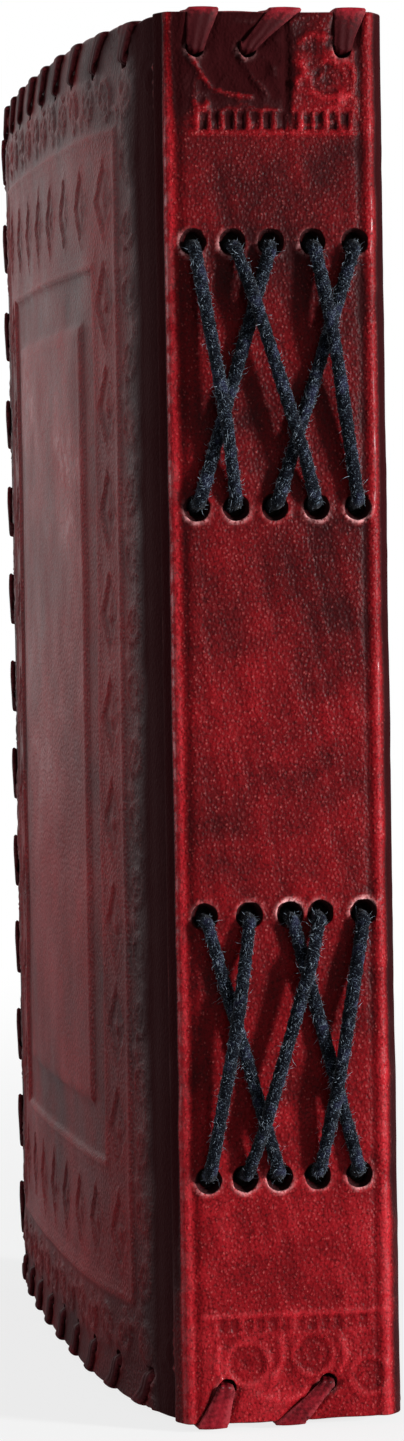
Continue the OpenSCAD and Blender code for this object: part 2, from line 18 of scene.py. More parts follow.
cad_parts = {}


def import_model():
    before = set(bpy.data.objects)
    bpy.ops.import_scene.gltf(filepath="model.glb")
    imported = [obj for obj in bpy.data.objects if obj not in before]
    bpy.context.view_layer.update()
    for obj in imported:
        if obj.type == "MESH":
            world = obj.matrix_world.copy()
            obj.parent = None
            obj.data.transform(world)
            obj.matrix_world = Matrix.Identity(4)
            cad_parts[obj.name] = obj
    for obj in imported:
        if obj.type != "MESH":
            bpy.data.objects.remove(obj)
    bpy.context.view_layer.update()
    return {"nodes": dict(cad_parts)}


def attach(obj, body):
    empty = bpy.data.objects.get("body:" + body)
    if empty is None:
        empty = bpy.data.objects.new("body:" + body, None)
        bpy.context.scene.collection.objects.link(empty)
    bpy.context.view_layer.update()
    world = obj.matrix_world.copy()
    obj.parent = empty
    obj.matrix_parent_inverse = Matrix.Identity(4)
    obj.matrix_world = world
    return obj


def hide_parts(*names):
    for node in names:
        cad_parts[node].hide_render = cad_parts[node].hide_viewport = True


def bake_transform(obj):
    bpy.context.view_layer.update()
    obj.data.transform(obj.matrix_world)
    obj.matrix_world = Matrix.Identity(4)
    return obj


LOG = logging.getLogger("journal")
MM = 0.001
THIRD_TURN = 2.0944

Array = np.ndarray
Place = Callable[[Array, Array, Array], Array]
Field = Callable[[Array, Array], Array]


class Body(Enum):
    """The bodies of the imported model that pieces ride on."""

    BINDING = "binding"
    FRONT = "front_cover"
    BACK = "back_cover"


class Slot(Enum):
    """Names of material slots."""

    HIDE = "outer_leather"
    LINING = "lining_leather"
    LACE = "edge_lace"
    CARD = "spine_card"
    PAGES = "pages"
    CORD = "sewing_cord"


# Numbers on grids.


def smoothstep(low: float, high: float, x: Array) -> Array:
    """Rises from 0 at low to 1 at high along 3t^2 - 2t^3.

    Args:
        low: Where the step starts.
        high: Where it ends; it may lie below low for a falling step.
        x: Values to step.

    Returns:
        The step's height at each value.
    """
    t = np.clip((x - low) / (high - low), 0.0, 1.0)
    return t * t * (3.0 - 2.0 * t)


def bump(distance: Array, width: float) -> Array:
    """A bell exp(-(d / width)^2), 1 on the line and nearly 0 at twice the width."""
    return np.exp(-np.square(distance / width))


def plateau(distance: Array, half: float, edge: float) -> Array:
    """1 inside half, 0 outside half + edge, with a soft step between them."""
    return 1.0 - smoothstep(half, half + edge, np.abs(distance))


def value_noise(u: Array, v: Array, size: float, seed: int) -> Array:
    """Smooth random heights from -1 to 1 over a plane.

    Random numbers stand at the corners of squares of the given size, and the height between
    them is their bilinear mean with smoothed shares.

    Args:
        u: First coordinate of the points.
        v: Second coordinate of the points.
        size: Size of a square.
        seed: Seed of the random numbers.

    Returns:
        The height at each point.
    """
    table = np.random.default_rng(abs(int(seed))).uniform(-1.0, 1.0, (64, 64))
    p, q = u / size, v / size
    i, j = np.floor(p).astype(int), np.floor(q).astype(int)
    a, b = p - i, q - j
    a, b = a * a * (3 - 2 * a), b * b * (3 - 2 * b)
    i0, i1, j0, j1 = i % 64, (i + 1) % 64, j % 64, (j + 1) % 64
    low = table[i0, j0] * (1 - a) + table[i1, j0] * a
    high = table[i0, j1] * (1 - a) + table[i1, j1] * a
    return low * (1 - b) + high * b


def smooth_line(points: Array, steps: int, closed: bool = False) -> Array:
    """A Catmull-Rom curve through rows of numbers.

    Args:
        points: One row for each point; the rows may hold any numbers.
        steps: Points on the curve for each span between two rows.
        closed: True if the last row is followed by the first.

    Returns:
        The rows of the curve, the last given row among them.
    """
    p = np.asarray(points, float)
    if closed:
        a, b, c, d = (np.roll(p, k, axis=0) for k in (1, 0, -1, -2))
    else:
        ends = np.vstack([2 * p[0] - p[1], p, 2 * p[-1] - p[-2]])
        a, b, c, d = ends[:-3], ends[1:-2], ends[2:-1], ends[3:]
    t = (np.arange(steps) / steps)[None, :, None]
    a, b, c, d = (k[:, None, :] for k in (a, b, c, d))
    curve = 0.5 * (
        2 * b + (c - a) * t + (2 * a - 5 * b + 4 * c - d) * t**2 + (3 * b - a - 3 * c + d) * t**3
    )
    curve = curve.reshape(-1, p.shape[1])
    return curve if closed else np.vstack([curve, p[-1]])


def line_distance(u: Array, v: Array, line: Array) -> Array:
    """Distance from points of a plane to a line of short straight pieces.

    Args:
        u: First coordinate of the points.
        v: Second coordinate of the points.
        line: Rows of two numbers, the corners of the line.

    Returns:
        The distance at each point.
    """
    best = np.full(u.shape, np.inf)
    near = (u > line[:, 0].min() - 6) & (u < line[:, 0].max() + 6)
    near &= (v > line[:, 1].min() - 6) & (v < line[:, 1].max() + 6)
    pu, pv = u[near], v[near]
    found = np.full(pu.shape, np.inf)
    for (ax, ay), (bx, by) in zip(line[:-1], line[1:]):
        dx, dy = bx - ax, by - ay
        t = np.clip(((pu - ax) * dx + (pv - ay) * dy) / (dx * dx + dy * dy + 1e-12), 0, 1)
        found = np.minimum(found, np.hypot(pu - ax - t * dx, pv - ay - t * dy))
    best[near] = found
    return best


# Meshes.


class Shell:
    """A mesh in the making, with values at its points that a finish may read."""

    def __init__(self, names: tuple[str, ...] = ()) -> None:
        """Starts an empty mesh.

        Args:
            names: Names of the values that every point has.
        """
        self.names = names
        self.count = 0
        self.points: list[Array] = []
        self.values: dict[str, list[Array]] = {name: [] for name in names}
        self.faces: dict[int, list[Array]] = {3: [], 4: []}

    def add(self, points: Array, **values: Array) -> Array:
        """Adds points.

        Args:
            points: Array whose last axis is x, y, z.
            values: The named values at the points; one that isn't given is 0.

        Returns:
            The points' indices, in the shape of the array without its last axis.
        """
        flat = points.reshape(-1, 3)
        self.points.append(flat)
        for name in self.names:
            given = values.get(name, 0.0)
            self.values[name].append(np.broadcast_to(given, points.shape[:-1]).reshape(-1))
        first = self.count
        self.count += len(flat)
        return np.arange(first, self.count).reshape(points.shape[:-1])

    def face(self, corners: Array) -> None:
        """Adds faces, given as rows of three or four indices."""
        if len(corners):
            self.faces[corners.shape[-1]].append(corners.reshape(-1, corners.shape[-1]))

    def grid(self, index: Array, keep: Array | None = None, around: bool = False) -> None:
        """Adds the quads between the rows and columns of a grid of indices.

        Args:
            index: Indices in rows and columns.
            keep: True for each quad that is made, or None for all.
            around: True if the last column joins the first.
        """
        if around:
            index = np.concatenate([index, index[:, :1]], axis=1)
        quads = np.stack([index[:-1, :-1], index[:-1, 1:], index[1:, 1:], index[1:, :-1]], -1)
        self.face(quads[keep] if keep is not None else quads)

    def bridge(self, outer: Array, inner: Array, outer_at: Array, inner_at: Array) -> None:
        """Joins two rings of different numbers of points with triangles.

        Both rings run the same way round. The steps of both are sorted by their angle, and
        each step makes one triangle with the point that the other ring has reached.

        Args:
            outer: Indices of the first ring.
            inner: Indices of the second ring.
            outer_at: Angle of each point of the first ring.
            inner_at: Angle of each point of the second ring.
        """
        a, pa = self._opened(outer, outer_at)
        b, pb = self._opened(inner, inner_at)
        at = np.concatenate([pa[1:], pb[1:]])
        first = np.concatenate([np.ones(len(pa) - 1, bool), np.zeros(len(pb) - 1, bool)])
        first = first[np.argsort(at, kind="stable")]
        i, j = np.cumsum(first) - first, np.cumsum(~first) - ~first
        self.face(np.stack([a[i[first]], a[i[first] + 1], b[j[first]]], -1))
        self.face(np.stack([a[i[~first]], b[j[~first] + 1], b[j[~first]]], -1))

    @staticmethod
    def _opened(ring: Array, at: Array) -> tuple[Array, Array]:
        """Turns a ring to start at its lowest angle and repeats its first point at the end."""
        start = int(np.argmin(at))
        ring, at = np.roll(ring, -start), np.roll(at, -start)
        return np.append(ring, ring[0]), np.append(at, at[0] + 2 * math.pi)

    def write(self, name: str, material: bpy.types.Material, shift_y: float) -> bpy.types.Object:
        """Makes the Blender object, with its faces turned outwards.

        Args:
            name: Name of the piece.
            material: Its finish.
            shift_y: What is added to y to come from the book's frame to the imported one.

        Returns:
            The new object, in metres.
        """
        points = np.concatenate(self.points) + [0.0, shift_y, 0.0]
        sets = [np.concatenate(self.faces[k]) for k in (4, 3) if self.faces[k]]
        if self._volume(points, sets) < 0:
            sets = [corners[:, ::-1] for corners in sets]
        mesh = bpy.data.meshes.new(name)
        mesh.vertices.add(len(points))
        mesh.vertices.foreach_set("co", (points * MM).astype(np.float32).ravel())
        loops = np.concatenate([corners.ravel() for corners in sets])
        sizes = np.concatenate([np.full(len(corners), corners.shape[1]) for corners in sets])
        mesh.loops.add(len(loops))
        mesh.loops.foreach_set("vertex_index", loops.astype(np.int32))
        mesh.polygons.add(len(sizes))
        starts = np.concatenate([[0], np.cumsum(sizes)[:-1]])
        mesh.polygons.foreach_set("loop_start", starts.astype(np.int32))
        mesh.polygons.foreach_set("use_smooth", np.ones(len(sizes), bool))
        mesh.update(calc_edges=True)
        mesh.validate()
        for value in self.names:
            layer = mesh.attributes.new(value, "FLOAT", "POINT")
            layer.data.foreach_set("value", np.concatenate(self.values[value]).astype(np.float32))
        mesh.materials.append(material)
        piece = bpy.data.objects.new(name, mesh)
        bpy.context.scene.collection.objects.link(piece)
        return piece

    @staticmethod
    def _volume(points: Array, sets: list[Array]) -> float:
        """Six times the signed volume inside the faces, from the triangles they split into."""
        total = 0.0
        for corners in sets:
            for k in range(1, corners.shape[1] - 1):
                a, b, c = points[corners[:, 0]], points[corners[:, k]], points[corners[:, k + 1]]
                total += float(np.sum(a * np.cross(b, c)))
        return total


# Shader nodes.


class Wire:
    """An output socket with arithmetic: each expression adds its Math nodes."""

    def __init__(self, nodes: "Nodes", socket: bpy.types.NodeSocket) -> None:
        """Wraps a socket of a node tree."""
        self.nodes = nodes
        self.socket = socket

    def _math(self, operation: str, *others: "Wire | float") -> "Wire":
        """Adds a Math node whose first input is this wire."""
        return self.nodes.make("ShaderNodeMath", {"operation": operation}, dict(enumerate([self, *others])))

    def __add__(self, other: "Wire | float") -> "Wire":
        """self + other."""
        return self._math("ADD", other)

    def __radd__(self, other: float) -> "Wire":
        """other + self."""
        return self._math("ADD", other)

    def __sub__(self, other: "Wire | float") -> "Wire":
        """self - other."""
        return self._math("SUBTRACT", other)

    def __rsub__(self, other: float) -> "Wire":
        """other - self."""
        return self._math("MULTIPLY_ADD", -1.0, other)

    def __mul__(self, other: "Wire | float") -> "Wire":
        """self * other."""
        return self._math("MULTIPLY", other)

    def __rmul__(self, other: float) -> "Wire":
        """other * self."""
        return self._math("MULTIPLY", other)

    def sine(self) -> "Wire":
        """The sine of this value, in radians."""
        return self._math("SINE")

    def atleast(self, other: "Wire | float") -> "Wire":
        """The greater of the two."""
        return self._math("MAXIMUM", other)

    def atmost(self, other: "Wire | float") -> "Wire":
        """The lesser of the two."""
        return self._math("MINIMUM", other)

    def step(self, low: float, high: float, to_low: float = 0.0, to_high: float = 1.0) -> "Wire":
        """Carries low..high over to to_low..to_high along a smooth step, clamped at both ends."""
        settings = {"interpolation_type": "SMOOTHSTEP"}
        values = {"Value": self, "From Min": low, "From Max": high, "To Min": to_low, "To Max": to_high}
        return self.nodes.make("ShaderNodeMapRange", settings, values)


Colour = tuple[float, float, float]
WHITE: Colour = (1.0, 1.0, 1.0)


class Nodes:
    """The node tree of one material or of the world."""

    def __init__(self, name: str, owner: bpy.types.World | None = None) -> None:
        """Starts an empty tree in a new material, or in the world that is given."""
        self.material = owner or bpy.data.materials.new(name)
        self.material.use_nodes = True
        self.tree = self.material.node_tree
        self.tree.nodes.clear()

    def make(self, kind: str, settings: dict, values: dict, output: int | str = 0) -> Wire:
        """Adds one node.

        Args:
            kind: The node's type.
            settings: Attributes set before anything else.
            values: Numbers, colours or wires for the input sockets, by name or number.
            output: The output that the wire comes from.

        Returns:
            The output as a wire.
        """
        node = self.tree.nodes.new(kind)
        for key, setting in settings.items():
            setattr(node, key, setting)
        for key, value in values.items():
            self.feed(node.inputs[key], value)
        return Wire(self, node.outputs[output] if len(node.outputs) else None)

    def feed(self, socket: bpy.types.NodeSocket, value: "Wire | float | tuple") -> None:
        """Links a wire to an input socket, or sets its number or colour."""
        if isinstance(value, Wire):
            self.tree.links.new(value.socket, socket)
        elif isinstance(value, tuple) and socket.type == "RGBA":
            socket.default_value = (*value, 1.0)
        else:
            socket.default_value = value

    def place(self) -> Wire:
        """Object coordinates, in metres."""
        return self.make("ShaderNodeTexCoord", {}, {}, "Object")

    def value(self, name: str) -> Wire:
        """A value kept at the mesh's points."""
        return self.make("ShaderNodeAttribute", {"attribute_name": name}, {}, "Fac")

    def noise(self, size: float, detail: float = 3.0, rough: float = 0.5, vector: Wire | None = None) -> Wire:
        """Noise from 0 to 1 whose lumps are about size millimetres apart."""
        values = {"Vector": vector or self.place(), "Scale": 1.0 / (size * MM)}
        values |= {"Detail": detail, "Roughness": rough}
        return self.make("ShaderNodeTexNoise", {}, values, "Fac")

    def cells(self, size: float, feature: str = "F1", vector: Wire | None = None) -> Wire:
        """Distance to the middles or edges of cells about size millimetres across."""
        values = {"Vector": vector or self.place(), "Scale": 1.0 / (size * MM)}
        return self.make("ShaderNodeTexVoronoi", {"feature": feature}, values, "Distance")

    def stretched(self, scale: Colour, turn: Colour = (0, 0, 0)) -> Wire:
        """Object coordinates scaled along their axes, after a turn."""
        return self.make("ShaderNodeMapping", {}, {"Vector": self.place(), "Scale": scale, "Rotation": turn})

    def mix(self, share: Wire | float, a: "Wire | Colour", b: "Wire | Colour") -> Wire:
        """A colour between a and b."""
        return self.make("ShaderNodeMix", {"data_type": "RGBA"}, {0: share, 6: a, 7: b}, 2)

    def bump(self, height: Wire, depth: float) -> Wire:
        """A bumped normal; depth is the height in millimetres that a value of 1 stands for."""
        return self.make("ShaderNodeBump", {}, {"Height": height, "Distance": depth * MM, "Strength": 1.0})

    def finish(self, **sockets: "Wire | float | tuple") -> bpy.types.Material:
        """Ends the tree in a Principled BSDF with the given sockets, underlines for spaces."""
        values = {name.replace("_", " "): value for name, value in sockets.items()}
        surface = self.make("ShaderNodeBsdfPrincipled", {}, values)
        self.make("ShaderNodeOutputMaterial", {}, {"Surface": surface})
        return self.material


@dataclass(frozen=True)
class PressedHide:
    """Dyed and glazed hide: dark in the pressed hollows, worn bright on the ridges, with painted glints on
    the grain.
    """

    name: str = "pressed_hide"
    bright: Colour = (0.34, 0.012, 0.018)
    middle: Colour = (0.170, 0.0030, 0.0055)
    hollow: Colour = (0.016, 0.0010, 0.0015)
    # tip is the colour of the painted glints on the grain.
    tip: Colour = (0.58, 0.13, 0.12)
    raw: Colour = (0.70, 0.34, 0.34)
    pebble: float = 0.62
    gloss: float = 0.42
    specular: float = 0.045

    def build(self) -> bpy.types.Material:
        """Builds the material."""
        n = Nodes(self.name)
        relief, torn, cut = n.value("relief"), n.value("torn"), n.value("cut")
        cloud, fine = n.noise(15.0, 4.0), n.noise(0.45, 2.0)
        slanted = n.stretched((1.0, 1.0, 0.75), (0.0, 0.6, 0.0))
        pebble = n.cells(self.pebble, "F1", slanted)
        crack = n.cells(self.pebble * 1.5, "DISTANCE_TO_EDGE", slanted)
        tone = (relief + (cloud - 0.5) * 0.24 + (fine - 0.5) * 0.4).step(-0.5, 0.5)
        colour = n.mix(tone, self.hollow, self.middle)
        colour = n.mix((relief + (fine - 0.5) * 0.6).step(0.15, 1.0), colour, self.bright)
        pores = (1.0 - crack.step(0.0, 0.16)) * 0.22 + (0.5 - fine).step(0.02, 0.2) * 0.40
        colour = n.mix(pores, colour, self.hollow)
        # Painted glints: pale specks on the grain that stand in for the lamp's glints.
        painted_glints = (1.0 - pebble.step(0.10, 0.34)) * n.noise(0.9, 2.0).step(0.38, 0.70)
        colour = n.mix(painted_glints * (relief + 0.7).step(0.0, 0.8) * 0.30, colour, self.tip)
        edge = cut * n.noise(0.35, 2.0).step(0.2, 0.7)
        colour = n.mix(edge * 0.3, colour, self.raw)
        colour = n.mix((torn * n.noise(0.5, 3.0).step(0.3, 0.55)).atmost(1.0), colour, self.raw)
        rough = self.gloss + (cloud - 0.5) * 0.2 + (fine - 0.5) * 0.16 + torn * 0.4 + cut * 0.25
        rough = rough + (0.0 - relief).step(0.25, 0.8) * 0.5
        height = (1.0 - pebble.step(0.0, 0.75)) * 0.07 + crack.step(0.0, 0.3) * 0.025
        height = height + (fine - 0.5) * 0.03 + n.noise(3.4, 3.0) * 0.06
        glaze = relief.step(0.2, 1.0) * n.noise(2.2, 3.0).step(0.42, 0.62) * (1.0 - torn).atleast(0.0)
        return n.finish(
            Base_Color=colour, Roughness=rough.atleast(0.2), Normal=n.bump(height, 1.0),
            Coat_Weight=glaze * 0.55, Coat_Roughness=0.18, Specular_IOR_Level=self.specular,
        )


@dataclass(frozen=True)
class Suede:
    """Brushed lining skin: matte, with a soft nap and darker worn patches."""

    name: str = "lining_suede"
    light: Colour = (0.16, 0.055, 0.040)
    dark: Colour = (0.060, 0.018, 0.014)

    def build(self) -> bpy.types.Material:
        """Builds the material."""
        n = Nodes(self.name)
        nap, patch = n.noise(0.45, 4.0, 0.65), n.noise(22.0, 4.0)
        colour = n.mix((nap * 0.5 + patch * 0.5).step(0.3, 0.68), self.dark, self.light)
        height = nap * 0.12 + n.noise(3.0, 3.0) * 0.2
        return n.finish(
            Base_Color=colour, Roughness=0.92, Normal=n.bump(height, 1.0),
            Sheen_Weight=0.15, Sheen_Roughness=0.5, Specular_IOR_Level=0.08,
        )


@dataclass(frozen=True)
class CalfLace:
    """Smooth dyed lace with a waxed face and paler cut edges, and painted shade where it lies in shade."""

    name: str = "calf_lace"
    face: Colour = (0.25, 0.010, 0.018)
    deep: Colour = (0.026, 0.0015, 0.0025)
    raw: Colour = (0.34, 0.06, 0.07)

    def build(self) -> bpy.types.Material:
        """Builds the material."""
        n = Nodes(self.name)
        cut, squeeze, across, dim = n.value("cut"), n.value("squeeze"), n.value("across"), n.value("dim")
        fine, cloud = n.noise(0.6, 3.0), n.noise(7.0, 3.0)
        # Painted shade: laces on the covers and on the faces at the head of the spine are darkened, with
        # their cut edges hidden and a rougher face.
        tone = (cloud * 0.6 + fine * 0.4 - squeeze * 0.25 - dim * 0.5).step(0.18, 0.66)
        colour = n.mix(tone, self.deep, self.face)
        colour = n.mix(cut * fine.step(0.25, 0.6) * (1.0 - dim) * 0.5, colour, self.raw)
        crease = ((across * 8.0 + cloud * 9.0).sine() * (squeeze + 0.2)) * 0.065
        height = fine * 0.05 + n.cells(0.5) * 0.03 + crease
        rough = 0.38 + (fine - 0.5) * 0.2 + cut * 0.3 + dim * 0.4
        return n.finish(
            Base_Color=colour, Roughness=rough, Normal=n.bump(height, 1.0),
            Specular_IOR_Level=0.06,
        )


@dataclass(frozen=True)
class CottonCord:
    """Spun cotton: each ply's threads run round it, with painted shade in the grooves between the plies."""

    name: str = "cotton_cord"
    light: Colour = (0.200, 0.265, 0.340)
    dark: Colour = (0.0015, 0.0020, 0.0045)
    violet: Colour = (0.016, 0.016, 0.042)

    def build(self) -> bpy.types.Material:
        """Builds the material."""
        n = Nodes(self.name)
        groove, along, turn = n.value("groove"), n.value("along"), n.value("turn")
        speck, patch = n.noise(0.22, 3.0, 0.6), n.noise(2.6, 3.0)
        thread = ((along * 14.0 + turn * 3.0 + speck * 3.0).sine() * 0.5 + 0.5)
        # Painted shade: the tone falls in the grooves between the plies.
        tone = (groove * 0.26 + thread * 0.12 + (speck - 0.5) * 3.0 + (patch - 0.5) * 0.8).step(0.34, 1.25)
        colour = n.mix(tone, self.dark, self.light)
        colour = n.mix(patch.step(0.52, 0.68) * 0.5, colour, self.violet)
        height = thread * 0.07 + speck * 0.22
        return n.finish(
            Base_Color=colour, Roughness=0.86, Normal=n.bump(height, 1.0),
            Sheen_Weight=0.06, Sheen_Roughness=0.5, Specular_IOR_Level=0.02,
        )


@dataclass(frozen=True)
class Fuzz:
    """Single cotton fibres that stand off the cord."""

    name: str = "cotton_fuzz"
    pale: Colour = (0.26, 0.32, 0.38)
    dark: Colour = (0.006, 0.009, 0.018)

    def build(self) -> bpy.types.Material:
        """Builds the material."""
        n = Nodes(self.name)
        colour = n.mix(n.noise(0.9, 2.0).step(0.35, 0.65), self.dark, self.pale)
        return n.finish(Base_Color=colour, Roughness=0.7, Specular_IOR_Level=0.3)


@dataclass(frozen=True)
class RagPaper:
    """Handmade paper: cream, flecked, a little darker along its torn edges, and with painted shade near the
    spine fold.
    """

    name: str = "rag_paper"
    light: Colour = (0.70, 0.62, 0.48)
    dark: Colour = (0.50, 0.41, 0.28)
    gutter_shade: Colour = (0.035, 0.026, 0.018)
    shade_full_y: float = -0.0765
    shade_start_y: float = -0.0700

    def build(self) -> bpy.types.Material:
        """Builds the material."""
        n = Nodes(self.name)
        edge = n.value("edge")
        fleck, cloud, fine = n.noise(0.7, 4.0, 0.7), n.noise(14.0, 3.0), n.noise(0.25, 2.0)
        tone = (cloud * 0.5 + fine * 0.3 + (1.0 - edge) * 0.25).step(0.25, 0.75)
        colour = n.mix(tone, self.dark, self.light)
        colour = n.mix(fleck.step(0.66, 0.74) * 0.35, colour, (0.30, 0.22, 0.13))
        depth = n.make("ShaderNodeSeparateXYZ", {}, {0: n.place()}, 1)
        # Painted shade: the pages turn nearly black near the spine fold, where they lie in the book's shade.
        colour = n.mix(depth.step(self.shade_start_y, self.shade_full_y), colour, self.gutter_shade)
        height = fine * 0.06 + fleck * 0.08
        return n.finish(Base_Color=colour, Roughness=0.9, Normal=n.bump(height, 1.0), Specular_IOR_Level=0.2)


@dataclass(frozen=True)
class Card:
    """Brown board with short pressed fibres."""

    name: str = "spine_card"
    light: Colour = (0.12, 0.070, 0.040)
    dark: Colour = (0.05, 0.028, 0.016)

    def build(self) -> bpy.types.Material:
        """Builds the material."""
        n = Nodes(self.name)
        fibre = n.noise(0.8, 4.0, 0.7, n.stretched((1.0, 1.0, 0.25)))
        colour = n.mix(fibre.step(0.35, 0.65), self.dark, self.light)
        return n.finish(Base_Color=colour, Roughness=0.88, Normal=n.bump(fibre, 0.15))


# The book's own shape.


@dataclass(frozen=True)
class Form:
    """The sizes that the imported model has, and the surfaces that follow from them."""

    cover_h: float = 251.0
    cover_d: float = 171.0
    bulge: float = 5.8
    crest_d: float = 56.0
    corner_r: float = 11.0
    leather_t: float = 2.0
    lining_t: float = 1.2
    spine_w: float = 42.0
    fold_r: float = 5.0
    spine_d: float = 7.0
    strip_t: float = 1.5
    crease_gap: float = 0.3
    pages_gap: float = 0.3
    lace_w: float = 5.5
    lace_t: float = 1.2
    lace_hole_d: float = 3.4
    lace_inset: float = 6.5
    lace_pitch: float = 18.8
    lace_lean: float = 6.5
    head_laces: tuple = (-13.9, -4.5, 12.75)
    tail_laces: tuple = (6.5, -12.0)
    lace_first: float = 13.0
    lace_last: float = 10.0
    lace_gap: float = 0.2
    pinch_reach: float = 3.6
    pinch_fade: float = 7.0
    end_clear: float = 5.0
    fore_clear: float = 4.5
    shift_y: float = -87.1

    @property
    def tail_z(self) -> float:
        """Height of the leather's tail edge."""
        return self.lace_gap + self.lace_t

    @property
    def head_z(self) -> float:
        """Height of the leather's head edge."""
        return self.tail_z + self.cover_h

    @property
    def half_w(self) -> float:
        """Half the width of the spine."""
        return self.spine_w / 2

    @property
    def flat_half(self) -> float:
        """Half the width of the flat of the spine between its folds."""
        return self.half_w - self.crease_gap - self.fold_r

    @property
    def fore_y(self) -> float:
        """Depth of the covers' fore edge."""
        return self.spine_d + self.cover_d

    @property
    def cover_t(self) -> float:
        """Thickness of hide and lining."""
        return self.leather_t + self.lining_t

    @property
    def spine_t(self) -> float:
        """Thickness of hide, card and lining at the spine."""
        return self.cover_t + self.strip_t

    def face_x(self, y: Array, n: Array) -> Array:
        """Where the outer face of the front cover lies, n outside it.

        Two arcs meet at the crest, each of the radius that its rise over its depth gives,
        and n is added to the radius.
        """
        rest = self.cover_d - self.crest_d
        near = (self.crest_d**2 + self.bulge**2) / (2 * self.bulge)
        far = (rest**2 + self.bulge**2) / (2 * self.bulge)
        crest_y = self.spine_d + self.crest_d
        r = np.where(y < crest_y, near, far)
        return self.half_w + self.bulge - r + np.sqrt((r + n) ** 2 - (y - crest_y) ** 2)

    def cover_place(self, side: int, pinches: Array, pull: float) -> Place:
        """A cover's surface as a function of depth y, height z and offset n outwards.

        Near the edge the leather is drawn in where each wrap of lace crosses it, by a bell
        along the edge that fades with the distance from it.

        Args:
            side: +1 for the front cover and -1 for the back cover.
            pinches: Depth and height of the points where the lace crosses the edge.
            pull: How far the edge is drawn in there.

        Returns:
            The surface.
        """
        head = pinches[pinches[:, 1] > self.head_z - self.corner_r / 2][:, 0]
        tail = pinches[pinches[:, 1] < self.tail_z + self.corner_r / 2][:, 0]
        fore = pinches[pinches[:, 0] > self.fore_y - self.corner_r / 2][:, 1]

        def drawn(along: Array, spots: Array, away: Array) -> Array:
            near = np.zeros(np.broadcast(along, away).shape)
            for spot in spots:
                near = near + bump(along - spot, self.pinch_reach)
            return pull * np.minimum(near, 1.0) * smoothstep(self.pinch_fade, 0.0, away)

        def place(s: Array, t: Array, n: Array) -> Array:
            y = s - drawn(t, fore, self.fore_y - s)
            z = t - drawn(s, head, self.head_z - t) + drawn(s, tail, t - self.tail_z)
            return np.stack([side * self.face_x(y, n), y, z], -1)

        return place

    def spine_place(self, s: Array, t: Array, n: Array) -> Array:
        """The spine's outer surface: s runs round its folds and is x on its flat.

        Past the flat, s turns along an arc of the fold's radius, and then runs straight back
        along y.
        """
        side, run = np.sign(s), np.abs(s) - self.flat_half
        angle = np.clip(run / self.fold_r, 0.0, math.pi / 2)
        beyond = np.maximum(run - self.fold_r * math.pi / 2, 0.0)
        reach = self.fold_r + n
        x = np.where(run > 0, side * (self.flat_half + reach * np.sin(angle)), s)
        y = np.where(run > 0, self.fold_r - reach * np.cos(angle) + beyond, -n)
        return np.stack([x, y, t + 0.0 * s], -1)

    @property
    def spine_run(self) -> float:
        """Half the length of the spine's hide round its folds, from crease to crease."""
        straight = self.spine_d - self.crease_gap / 2 - self.fold_r
        return self.flat_half + self.fold_r * math.pi / 2 + straight


@dataclass(frozen=True)
class Hole:
    """A round hole punched through a sheet, in the sheet's own coordinates."""

    s: float
    t: float
    radius: float
    back_radius: float
    torn: float = 0.0
    lip: float = 0.0
    torn_at: float = -2.2
    seed: int = 0


